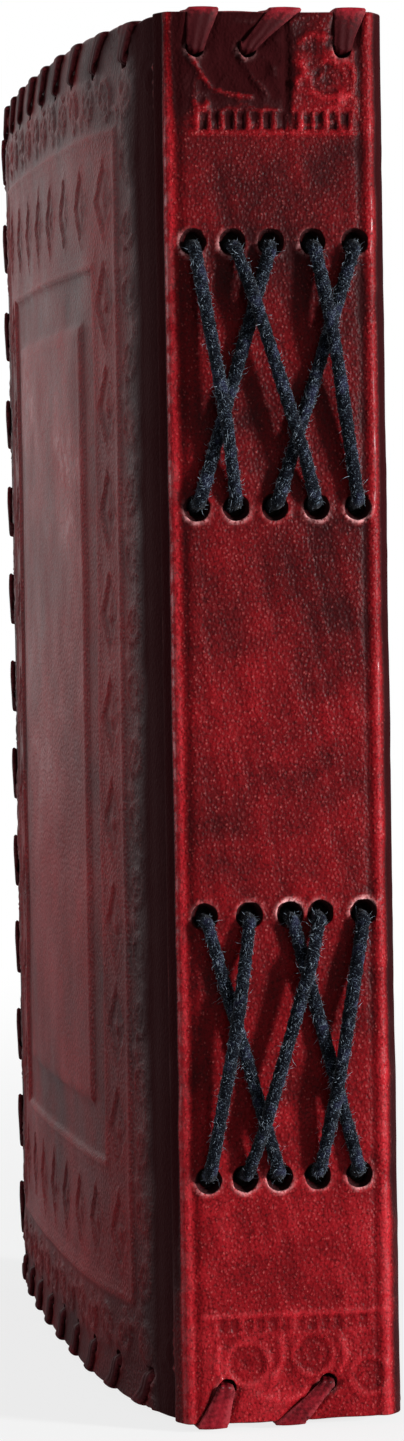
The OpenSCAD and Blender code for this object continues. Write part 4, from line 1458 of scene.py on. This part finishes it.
@dataclass
class Lacing:
    """The flat lace whipped round every edge, in one strip for each edge."""

    form: Form
    squeeze: tuple[float, float] = (0.84, 0.55)
    plug: float = 0.96
    aside: float = 0.3
    pull: float = 0.9
    cover_lift: float = 0.15
    spine_lift: float = -0.12
    mouth_lift: float = 0.15
    mouth_in: float = 0.6
    flat_in: float = 2.4
    mouth_share: float = 0.25
    turn_in: float = 0.5
    turn_off: float = 0.3
    thick: float = 0.9
    slope_share: float = 0.72
    edge_off: float = 0.15
    face_in: float = 0.5
    # How much painted shade darkens the laces on the covers and at the head of the spine.
    cover_dim: float = 0.5
    head_dim: float = 0.75
    head_end_lean: float = 1.5
    tail_end_lean: float = 2.5
    tuck_share: float = 0.4
    hinge_lean: float = 0.35
    steps: int = 3
    profile: tuple = (
        (-1.0, -0.5), (-0.94, -0.95), (0.0, -1.0), (0.94, -0.95), (1.0, -0.5), (1.0, 0.3),
        (0.93, 0.8), (0.5, 1.0), (0.0, 1.08), (-0.5, 1.0), (-0.93, 0.8), (-1.0, 0.3),
    )
    cut_at: tuple = (0.9, 0.5, 0.0, 0.5, 0.9, 1.0, 0.5, 0.0, 0.0, 0.0, 0.5, 1.0)

    def build(self) -> None:
        """Builds the eight strips."""
        lace = CalfLace().build()
        form, edge = self.form, Edge(self.form)
        for body, side in ((Body.FRONT, 1), (Body.BACK, -1)):
            short = body.value.split("_")[0]
            spans = (
                ("head", 0, edge.head_count - 1),
                ("fore_edge", edge.head_count, edge.fore_count - 1),
                ("tail", edge.fore_count, edge.count - 1),
            )
            for part, first, last in spans:
                rings = self._cover_rings(edge, first, last, side)
                # Painted shade: every lace on a cover is darkened by the same share.
                dim = np.full(len(rings), self.cover_dim)
                seed = first + 7 * side + 40
                shell = self._ribbon(rings, self._cover_point(edge, side), seed, dim, self.pull)
                piece = shell.write(f"{short}_{part}_lace", lace, form.shift_y)
                finish_piece(piece, f"{short}_{part}_lacing")
                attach(piece, body.value)
        end_lean = self.head_end_lean
        ends = (
            ("head", form.head_laces, (end_lean, form.lace_lean, end_lean), form.head_z, 1),
            ("tail", form.tail_laces, (form.lace_lean, self.tail_end_lean), form.tail_z, -1),
        )
        for part, holes, leans, edge_z, go in ends:
            rings = self._spine_rings(holes, leans, go)
            depth = np.array(rings)[:, 1]
            # Painted shade: the head's laces darken away from the edge; the tail's are left as they are.
            dim = smoothstep(0.0, 1.0, depth) * (self.head_dim if go > 0 else 0.0)
            shell = self._ribbon(rings, self._spine_point(edge_z, go), 90 + go, dim, 0.0)
            piece = shell.write(f"spine_{part}_lace", lace, form.shift_y)
            finish_piece(piece, f"spine_{part}_lacing")
            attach(piece, Body.BINDING.value)

    def _cover_point(self, edge: Edge, side: int) -> Place:
        """Carries lace coordinates onto a cover."""

        def point(u: Array, w: Array, n: Array) -> Array:
            yz = edge.yz(u, w)
            return np.stack([side * self.form.face_x(yz[..., 0], n), yz[..., 0], yz[..., 1]], -1)

        return point

    @staticmethod
    def _spine_point(edge_z: float, go: int) -> Place:
        """Carries lace coordinates onto the head or tail edge of the spine."""

        def point(u: Array, w: Array, n: Array) -> Array:
            return np.stack([u, -n, edge_z - go * w], -1)

        return point

    def _cover_rings(self, edge: Edge, first: int, last: int, go: int) -> list:
        """The rings of the lace along part of a cover's edge; beside the hinge it leans less."""
        form, rings = self.form, []
        order = range(first, last + 1) if go > 0 else range(last, first - 1, -1)
        for i in order:
            hinge = i == edge.count - 1 if go > 0 else i == 0
            lean = min(form.lace_lean, form.lace_last * self.hinge_lean) if hinge else form.lace_lean
            gone = lean + 1.0 if hinge else edge.step
            rings += self._wrap(edge.hole_u(i), go, lean, gone, form.cover_t, hinge, self.cover_lift)
        return rings

    def _spine_rings(self, holes: tuple, leans: tuple, go: int) -> list:
        """The rings of the lace over one end of the spine."""
        rings = []
        for i, (x, lean) in enumerate(zip(holes, leans)):
            last = i == len(holes) - 1
            gone = lean if last else abs(holes[i + 1] - x)
            rings += self._wrap(x, go, lean, gone, self.form.spine_t, last, self.spine_lift)
        return rings

    def _wrap(self, u: float, go: int, lean: float, gone: float, t: float, last: bool, mid: float) -> list:
        """One wrap as rings of u, w, n, out_w, out_n, width, thickness and squeeze.

        It comes out of the hole, leans along the outer face, turns over the edge and goes
        back behind to the next hole.

        Args:
            u: Place of the hole along the edge.
            go: +1 or -1, the way that the lace leans and travels along u.
            lean: How far along it leans on the outer face.
            gone: How far along the next hole is.
            t: Thickness of what the lace wraps.
            last: True if the lace ends behind instead of reaching the next hole.
            mid: Height of the middle of the lace over the faces.

        Returns:
            The rings.
        """
        form = self.form
        inset, wide, thick = form.lace_inset, form.lace_w, self.thick
        pinch_w, pinch_t = (share * form.lace_hole_d for share in self.squeeze)
        turn = math.sqrt(0.5)
        off = self.turn_off * turn
        mouth, rise = mid + self.mouth_lift, inset + mid
        mouth_w = pinch_w + (wide - pinch_w) * self.mouth_share
        foot, slope, tuck = inset - self.aside - self.mouth_in, inset - self.flat_in, inset * self.tuck_share

        def front(w: float) -> float:
            return u + go * lean * (inset - w) / rise

        def rear(w: float) -> float:
            return u + go * (lean + (gone - lean) * (w + mid) / rise)

        near, side = inset - self.aside, u + go * self.aside * 0.8
        rings = [
            (u, inset, -t, 1, 0, self.plug * form.lace_hole_d, self.plug * form.lace_hole_d, 1.0),
            (side, near, -self.mouth_lift, 1, 0, pinch_w, pinch_t, 1.0),
            (front(foot), foot, mouth, turn, turn, mouth_w, thick, 0.8),
            (front(slope), slope, mid, 0, 1, wide * self.slope_share, thick, 0.5),
            (front(self.turn_in), self.turn_in, mid, 0, 1, wide, thick, 0.1),
            (front(-self.turn_in), -off, min(off, mid), -turn, turn, wide, thick, 0.0),
            (front(-off), -off - self.edge_off, -self.face_in, -1, 0, wide, thick, 0.0),
            (front(-off), -off - self.edge_off, self.face_in - t, -1, 0, wide, thick, 0.0),
            (rear(-self.turn_in), -off, -t - off, -turn, -turn, wide, thick, 0.0),
            (rear(self.turn_in), self.turn_in, -t - mid, 0, -1, wide, thick, 0.0),
        ]
        if last:
            return rings + [(rear(tuck), tuck, -t - mid, 0, -1, wide, thick, 0.1)]
        return rings + [
            (rear(slope), slope, -t - mid, 0, -1, wide, thick, 0.2),
            (rear(foot), foot, -t - mouth, turn, -turn, mouth_w, thick, 0.8),
        ]

    def _ribbon(self, rings: list, place: Place, seed: int, dim: Array, pull: float) -> Shell:
        """Skins a lace over its rings with a soft, slightly domed section.

        The rings are carried along a smooth curve, and each ring's profile is laid out along
        u for its width and along its own outward direction for its thickness. Where the lace
        turns over the edge, it is drawn in by the pull.
        """
        row = smooth_line(np.column_stack([np.array(rings, float), dim]), self.steps)
        row[:, 1] += pull * smoothstep(2.6, -0.2, row[:, 1])
        way = np.concatenate([[0], np.cumsum(np.linalg.norm(np.diff(row[:, :3], axis=0), axis=1))])
        out = row[:, 3:5] / np.maximum(np.linalg.norm(row[:, 3:5], axis=1, keepdims=True), 0.3)
        uneven = 1.0 + 0.05 * value_noise(way, way * 0, 4.0, seed) * (1 - row[:, 7])
        profile = np.array(self.profile)
        side = profile[None, :, 0] * (row[:, 5] * uneven / 2)[:, None]
        lift = profile[None, :, 1] * (row[:, 6] / 2)[:, None]
        u = row[:, 0, None] + side
        w = row[:, 1, None] + lift * out[:, :1]
        n = row[:, 2, None] + lift * out[:, 1:]
        shell = Shell(("cut", "squeeze", "across", "dim"))
        cut = np.broadcast_to(np.array(self.cut_at)[None, :], u.shape)
        squeeze = np.broadcast_to(row[:, 7, None], u.shape)
        across = np.broadcast_to(profile[None, :, 0], u.shape)
        shade = np.broadcast_to(row[:, 8, None], u.shape)
        index = shell.add(place(u, w, n), cut=cut, squeeze=squeeze, across=across, dim=shade)
        shell.grid(index, around=True)
        for ring, turn in ((index[0], 1), (index[-1], -1)):
            middle = shell.add(place(u, w, n)[0 if turn > 0 else -1].mean(0)[None, :])
            fan = np.stack([np.roll(ring, -1), ring, np.full(len(ring), middle[0])], -1)
            shell.face(fan[:, ::turn])
        return shell


@dataclass
class Sewing:
    """The two bands of crossing stitches, each one loop of plied cotton cord."""

    form: Form
    hides: Hides
    cord_d: float = 2.5
    hole_d: float = 4.2
    cord_gap: float = 0.1
    bend_end: float = 0.75
    lean_in: float = 0.3
    depth_in: float = 0.6
    run_steps: int = 12
    beside: float = 0.07
    least_rise: float = 0.02
    inside_y: float = 9.65
    plies: int = 3
    twist: float = 7.0
    around: int = 20
    ring_step: float = 0.42
    hairs: int = 3600

    def build(self) -> None:
        """Builds both cords and their fuzz."""
        cotton, fuzz = CottonCord().build(), Fuzz().build()
        bands = (("upper", 0, (1, 3, 0, 4, 2), 1, 5), ("lower", 2, (2, 0, 4, 1, 3), -1, 6))
        for name, row, joins, lean_over, seed in bands:
            route = self._route(row, joins, lean_over)
            path = self._even(smooth_line(route, 6, closed=True))
            piece = self._strand(path, seed).write(f"{name}_cord", cotton, self.form.shift_y)
            finish_piece(piece, f"{name}_sewing_cord")
            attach(piece, Body.BINDING.value)
            hairs = self._fuzz(path, seed).write(f"{name}_cord_fuzz", fuzz, self.form.shift_y)
            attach(hairs, Body.BINDING.value)

    def _route(self, row: int, joins: tuple, lean_over: int) -> Array:
        """The corners of a band's route, stitch after stitch, back to where it began."""
        order, i = [], 0
        for _ in joins:
            order.append(i)
            i = joins[i]
        return np.array([point for i in order for point in self._stitch(row, joins, i, lean_over)])

    def _stitch(self, row: int, joins: tuple, i: int, lean_over: int) -> list:
        """One stitch: out of its upper hole, down the spine, in below and back up inside."""
        form = self.form
        (z_a, tops), (z_b, feet) = self.hides.columns[row], self.hides.columns[row + 1]
        j, r = joins[i], self.cord_d / 2
        a, b = np.array([tops[i], z_a]), np.array([feet[j], z_b])
        d = (b - a) / np.linalg.norm(b - a)
        lip, bend = self.hole_d / 2, r + self.cord_gap
        hug, pages_back = lip - r - self.cord_gap / 2, form.spine_t + form.pages_gap
        at = []
        for k in range(len(joins)):
            if (i - k) * (joins[i] - joins[k]) < 0:
                gap = tops[k] - tops[i]
                at.append(gap / (gap - feet[joins[k]] + feet[j]))
        over = bool(at) and (j - i) * lean_over > 0
        low, high = (min(at), max(at)) if at else (0.5, 0.5)
        flat_y = -bend
        top_y = flat_y - self.cord_d - self.cord_gap
        run = float(np.linalg.norm(b - a)) - 2 * lip

        def along(p: Array, x: float, y: float) -> tuple[float, float, float]:
            return (p[0] + d[0] * x, y, p[1] + d[1] * x)

        def lift(t: float) -> float:
            if not over:
                return flat_y
            up = t / max(self.least_rise, low - self.beside)
            down = (1 - t) / max(self.least_rise, 1 - high - self.beside)
            return flat_y + (top_y - flat_y) * min(1.0, up, down)

        start = [
            (a[0], self.inside_y - 1, a[1]), along(a, hug * self.lean_in, pages_back),
            along(a, hug, form.leather_t * self.depth_in), along(a, hug, 0.0),
            along(a, lip - bend * self.bend_end, -bend * self.bend_end),
        ]
        steps = np.arange(self.run_steps + 1) / self.run_steps
        middle = [along(a, lip + run * t, lift(t)) for t in steps]
        end = [
            along(b, bend * self.bend_end - lip, -bend * self.bend_end), along(b, -hug, 0.0),
            along(b, -hug, form.leather_t * self.depth_in), along(b, -hug * self.lean_in, pages_back),
            (b[0], self.inside_y - 1, b[1]), (b[0], self.inside_y, b[1] + 1),
            (tops[j], self.inside_y, z_a - 1),
        ]
        return start + middle + end

    def _even(self, path: Array) -> Array:
        """The same closed path with its points one ring step apart."""
        ring = np.vstack([path, path[:1]])
        way = np.concatenate([[0], np.cumsum(np.linalg.norm(np.diff(ring, axis=0), axis=1))])
        at = np.linspace(0, way[-1], int(way[-1] / self.ring_step), endpoint=False)
        return np.stack([np.interp(at, way, ring[:, k]) for k in range(3)], -1)

    @staticmethod
    def _frame(path: Array) -> tuple[Array, Array]:
        """Two directions across a closed path; one stays near x, which it never runs along."""
        ahead = np.roll(path, -1, axis=0) - np.roll(path, 1, axis=0)
        ahead /= np.linalg.norm(ahead, axis=1, keepdims=True)
        side = np.cross(ahead, np.cross([1.0, 0.0, 0.0], ahead))
        side /= np.linalg.norm(side, axis=1, keepdims=True)
        return side, np.cross(ahead, side)

    def _strand(self, path: Array, seed: int) -> Shell:
        """A cord whose section has one lobe for each ply, turned as it goes along."""
        side, up = self._frame(path)
        way = np.arange(len(path)) * self.ring_step
        turns = max(1, round(way[-1] / self.twist))
        turn = 2 * math.pi * turns * np.arange(len(path)) / len(path)
        angle = np.linspace(0, 2 * math.pi, self.around, endpoint=False)[None, :] + 0 * way[:, None]
        lobe = np.abs(np.cos((angle - turn[:, None]) * self.plies / 2))
        rough = value_noise(angle * 1.6 + way[:, None] * 0.9, way[:, None] + 0 * angle, 0.7, seed)
        thick = 1.0 + 0.07 * value_noise(way, way * 0, 5.0, seed + 1)[:, None]
        r = self.cord_d / 2 * thick * (0.82 + 0.14 * lobe**0.8 + 0.06 * rough)
        points = path[:, None, :] + r[..., None] * (
            np.cos(angle)[..., None] * side[:, None, :] + np.sin(angle)[..., None] * up[:, None, :]
        )
        shell = Shell(("groove", "along", "turn"))
        along = np.broadcast_to(way[:, None], angle.shape)
        index = shell.add(points, groove=lobe, along=along, turn=angle - turn[:, None])
        shell.grid(np.vstack([index, index[:1]]), around=True)
        return shell

    def _fuzz(self, path: Array, seed: int) -> Shell:
        """Short curled fibres on the part of the cord that lies outside the spine.

        Each fibre is a thin three-sided spike: it leaves the cord's side at a slant, and its
        tip bends on along the cord.
        """
        pick = np.random.default_rng(seed + 50)
        side, up = self._frame(path)
        shown = np.flatnonzero(path[:, 1] < 0.5)
        i = pick.choice(shown, self.hairs)
        angle = pick.uniform(0, 2 * math.pi, self.hairs)[:, None]
        out = np.cos(angle) * side[i] + np.sin(angle) * up[i]
        ahead = np.roll(path, -1, axis=0)[i] - path[i]
        ahead /= np.linalg.norm(ahead, axis=1, keepdims=True)
        root = path[i] + out * self.cord_d * 0.44
        length = pick.gamma(2.2, 0.33, self.hairs).clip(0.25, 2.6)[:, None]
        lean = pick.normal(0, 1.0, (self.hairs, 1))
        stray = pick.normal(0, 0.35, (self.hairs, 3))
        way = out * 0.55 + ahead * lean * 0.8 + stray
        way /= np.linalg.norm(way, axis=1, keepdims=True)
        middle = root + way * length * 0.5
        bent = way + ahead * lean * 0.3 + pick.normal(0, 0.4, (self.hairs, 3)) - out * 0.15
        tip = middle + bent / np.linalg.norm(bent, axis=1, keepdims=True) * length * 0.5
        floor = -0.05
        middle[:, 1], tip[:, 1] = np.minimum(middle[:, 1], floor), np.minimum(tip[:, 1], floor)
        across = np.cross(way, [0.3, 0.5, 0.8])
        across /= np.linalg.norm(across, axis=1, keepdims=True)
        other = np.cross(way, across)
        shell = Shell()
        rings = []
        for centre, thin in ((root, 0.045), (middle, 0.035)):
            turns = (k * THIRD_TURN for k in range(3))
            corners = [centre + thin * (math.cos(a) * across + math.sin(a) * other) for a in turns]
            rings.append(shell.add(np.stack(corners, 1)))
        point = shell.add(tip)
        for k in range(3):
            m = (k + 1) % 3
            shell.face(np.stack([rings[0][:, k], rings[0][:, m], rings[1][:, m], rings[1][:, k]], -1))
            shell.face(np.stack([rings[1][:, k], rings[1][:, m], point], -1))
        shell.face(rings[0][:, ::-1])
        return shell


@dataclass
class Pages:
    """Five signatures of folded rag paper with torn edges."""

    form: Form
    signatures: int = 5
    sheets: int = 7
    rows: int = 26
    fold_steps: int = 6
    side_steps: int = 11
    leaf_t: float = 0.34
    ragged: float = 0.9

    def build(self) -> None:
        """Builds the block of pages as one piece."""
        shell = Shell(("edge",))
        for k in range(self.signatures):
            for m in range(self.sheets):
                self._sheet(shell, k, m)
        piece = shell.write("pages", RagPaper().build(), self.form.shift_y)
        finish_piece(piece, "text_block")
        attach(piece, Body.BINDING.value)

    def _half(self, y: Array) -> Array:
        """Half the width of the block at depth y: it fills the room between the covers."""
        form = self.form
        room = form.face_x(np.maximum(y, form.spine_d), -form.cover_t - form.pages_gap)
        back = form.half_w - form.crease_gap - form.cover_t - form.pages_gap - 0.2
        return np.where(y < form.spine_d + 0.3, back, np.maximum(room, back)) - self.leaf_t / 2

    def _sheet(self, shell: Shell, k: int, m: int) -> None:
        """One folded sheet: down one side, round the fold at the back, and up the other.

        Across the block a leaf lies at a share of its half width. At the fold the share's
        line turns round a half circle whose radius shrinks towards the innermost sheet.
        """
        form = self.form
        centre = (k - (self.signatures - 1) / 2) * 2 / self.signatures
        nest = (self.sheets - m - 0.5) / self.sheets
        share = nest / self.signatures
        half_back = float(self._half(np.array(0.0)))
        r = share * half_back
        back = form.spine_t + form.pages_gap + self.leaf_t / 2
        fold_y = back + half_back / self.signatures
        fore = form.fore_y - form.lace_inset - form.fore_clear - 1.0 - 1.1 * nest
        y_side = fold_y + (fore - fold_y) * np.linspace(0, 1, self.side_steps + 1) ** 1.25
        turn = np.linspace(0, math.pi, self.fold_steps + 1)
        plan = []
        for sign in (-1.0, 1.0):
            q = centre + sign * share
            grow = smoothstep(fold_y, fold_y + 26.0, y_side)
            x = q * (half_back + (self._half(y_side) - half_back) * grow)
            limit = self._half(y_side)
            plan.append(np.stack([np.clip(x, -limit, limit), y_side], -1))
        fold = np.stack([centre * half_back - r * np.cos(turn), fold_y - r * np.sin(turn)], -1)
        path = np.vstack([plan[0][::-1], fold[1:-1], plan[1]])
        way = np.gradient(path, axis=0)
        way /= np.linalg.norm(way, axis=1, keepdims=True)
        out = np.stack([way[:, 1], -way[:, 0]], -1) * self.leaf_t / 2
        seed = 200 + k * 40 + m * 3
        low = form.tail_z + form.lace_inset + form.end_clear
        high = form.head_z - form.lace_inset - form.end_clear
        lengths = np.arange(len(path)) * 7.0
        z_low = low + self.ragged * (0.5 + 0.5 * value_noise(lengths, lengths * 0, 4.0, seed))
        z_high = high - self.ragged * (0.5 + 0.5 * value_noise(lengths, lengths * 0, 4.0, seed + 1))
        share_z = np.linspace(0, 1, self.rows + 1)[:, None]
        z = z_low[None, :] * (1 - share_z) + z_high[None, :] * share_z
        ragged = self.ragged * value_noise(z * 0.9, z * 0 + seed, 3.0, seed + 2)
        end = np.zeros(len(path))
        end[0] = end[-1] = 1.0
        faces = []
        for sign in (1.0, -1.0):
            x = path[None, :, 0] + sign * out[None, :, 0] + 0 * z
            y = path[None, :, 1] + sign * out[None, :, 1] - ragged.clip(-0.7, 0.7) * end[None, :]
            near = np.zeros(z.shape)
            near[[0, -1], :] = 1.0
            near[:, [0, -1]] = 1.0
            faces.append(shell.add(np.stack([x, y, z], -1), edge=near))
        front, back_face = faces
        shell.grid(front)
        shell.grid(back_face[:, ::-1])
        i, j = Sheet._border(front.shape)
        shell.grid(np.stack([back_face[i, j], front[i, j]]), around=True)


def finish_piece(piece: bpy.types.Object, node: str) -> None:
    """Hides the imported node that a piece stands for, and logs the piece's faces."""
    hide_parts(node)
    LOG.info("%s: %d faces, for %s", piece.name, len(piece.data.polygons), node)


# The room.


@dataclass(frozen=True)
class Lamp:
    """A soft square lamp that points at the book."""

    name: str
    place: tuple[float, float, float]
    size: float
    power: float
    colour: Colour = WHITE

    def build(self, target: tuple[float, float, float]) -> None:
        """Adds the lamp."""
        light = bpy.data.lights.new(self.name, "AREA")
        light.shape, light.size, light.energy, light.color = "SQUARE", self.size, self.power, self.colour
        lamp = bpy.data.objects.new(self.name, light)
        bpy.context.scene.collection.objects.link(lamp)
        away = np.array(self.place) - np.array(target)
        away /= np.linalg.norm(away)
        right = np.cross([0.0, 0.0, 1.0], away)
        right /= np.linalg.norm(right)
        matrix = np.eye(4)
        matrix[:3, 0], matrix[:3, 1], matrix[:3, 2] = right, np.cross(away, right), away
        matrix[:3, 3] = self.place
        lamp.matrix_world = Matrix(matrix.tolist())


@dataclass(frozen=True)
class Studio:
    """Camera, lamps, white surroundings and a pale floor."""

    camera_place: tuple = (-0.170155, -0.881344, 0.153035)
    camera_axes: tuple = (
        (0.981125, -0.192685, -0.016292), (0.022167, 0.028373, 0.999352), (-0.192097, -0.98085, 0.032109)
    )
    lens: float = 114.06
    sensor: float = 36.0
    soft_colour: Colour = (0.92, 0.95, 1.0)
    soft_power: float = 0.13
    floor_colour: Colour = (0.80, 0.80, 0.80)
    floor_half: float = 2.5
    near_glow: float = 0.80
    glow_from: float = 0.1
    glow_to: float = 0.9
    target: tuple = (0.0, -0.06, 0.13)
    lamps: tuple = (
        Lamp("key_lamp", (1.05, -0.95, 0.28), 0.18, 37.0),
        Lamp("left_lamp", (-1.25, 0.30, 0.4), 0.9, 7.0, (0.93, 0.96, 1.0)),
        Lamp("front_lamp", (0.1, -1.6, 0.4), 0.9, 1.2),
    )

    def build(self) -> None:
        """Builds the room round the book."""
        self._camera()
        self._surroundings()
        self._floor()
        for lamp in self.lamps:
            lamp.build(self.target)
        bpy.context.scene.view_settings.view_transform = "Standard"

    def _camera(self) -> None:
        """Places the camera that was fitted to the photograph."""
        camera = bpy.data.cameras.new("camera")
        camera.sensor_fit, camera.sensor_height, camera.sensor_width = "VERTICAL", self.sensor, self.sensor
        camera.lens, camera.clip_start = self.lens, 0.01
        viewer = bpy.data.objects.new("camera", camera)
        bpy.context.scene.collection.objects.link(viewer)
        matrix = np.eye(4)
        matrix[:3, :3] = np.array(self.camera_axes).T
        matrix[:3, 3] = self.camera_place
        viewer.matrix_world = Matrix(matrix.tolist())
        bpy.context.scene.camera = viewer

    def _surroundings(self) -> None:
        """White where it is seen or mirrored, and a soft grey light elsewhere."""
        world = bpy.data.worlds.new("room")
        bpy.context.scene.world = world
        n = Nodes("room", world)
        seen = n.make("ShaderNodeLightPath", {}, {}, "Is Camera Ray")
        for ray in ("Is Glossy Ray", "Is Transmission Ray"):
            seen = seen.atleast(n.make("ShaderNodeLightPath", {}, {}, ray))
        soft = n.make("ShaderNodeBackground", {}, {"Color": self.soft_colour, "Strength": self.soft_power})
        white = n.make("ShaderNodeBackground", {}, {"Color": WHITE, "Strength": 1.0})
        mixed = n.make("ShaderNodeMixShader", {}, {0: seen, 1: soft, 2: white})
        n.make("ShaderNodeOutputWorld", {}, {"Surface": mixed})

    def _floor(self) -> None:
        """A floor that the camera sees as white, but for a weak shadow close to the book."""
        n = Nodes("pale_floor")
        path = n.make("ShaderNodeLightPath", {}, {}, "Is Camera Ray")
        dull = n.make("ShaderNodeBsdfDiffuse", {}, {"Color": self.floor_colour})
        glow = n.make("ShaderNodeEmission", {}, {"Color": WHITE, "Strength": 1.0})
        away = n.make("ShaderNodeVectorMath", {"operation": "LENGTH"}, {0: n.place()}, "Value")
        share = path * away.step(self.glow_from, self.glow_to, self.near_glow, 1.0)
        mixed = n.make("ShaderNodeMixShader", {}, {0: share, 1: dull, 2: glow})
        n.make("ShaderNodeOutputMaterial", {}, {"Surface": mixed})
        half = self.floor_half
        mesh = bpy.data.meshes.new("floor")
        corners = [(-half, -half, 0), (half, -half, 0), (half, half, 0), (-half, half, 0)]
        mesh.from_pydata(corners, [], [(0, 1, 2, 3)])
        mesh.materials.append(n.material)
        floor = bpy.data.objects.new("floor", mesh)
        bpy.context.scene.collection.objects.link(floor)


def dress(nodes: dict, name: str, material: bpy.types.Material) -> None:
    """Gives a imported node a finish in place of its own."""
    mesh = nodes[name].data
    mesh.materials.clear()
    mesh.materials.append(material)


def main() -> None:
    """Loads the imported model, builds every piece and reports it."""
    logging.basicConfig(level=logging.INFO, format="%(message)s")
    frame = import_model()
    form = Form()
    hides = Hides(form)
    hides.build()
    Lacing(form).build()
    Sewing(form, hides).build()
    Pages(form).build()
    dress(frame["nodes"], "spine_strip", Card().build())
    dress(frame["nodes"], "spine_lining", Suede("spine_suede").build())
    Studio().build()
    bpy.context.view_layer.update()


if __name__ == "__main__":
    main()
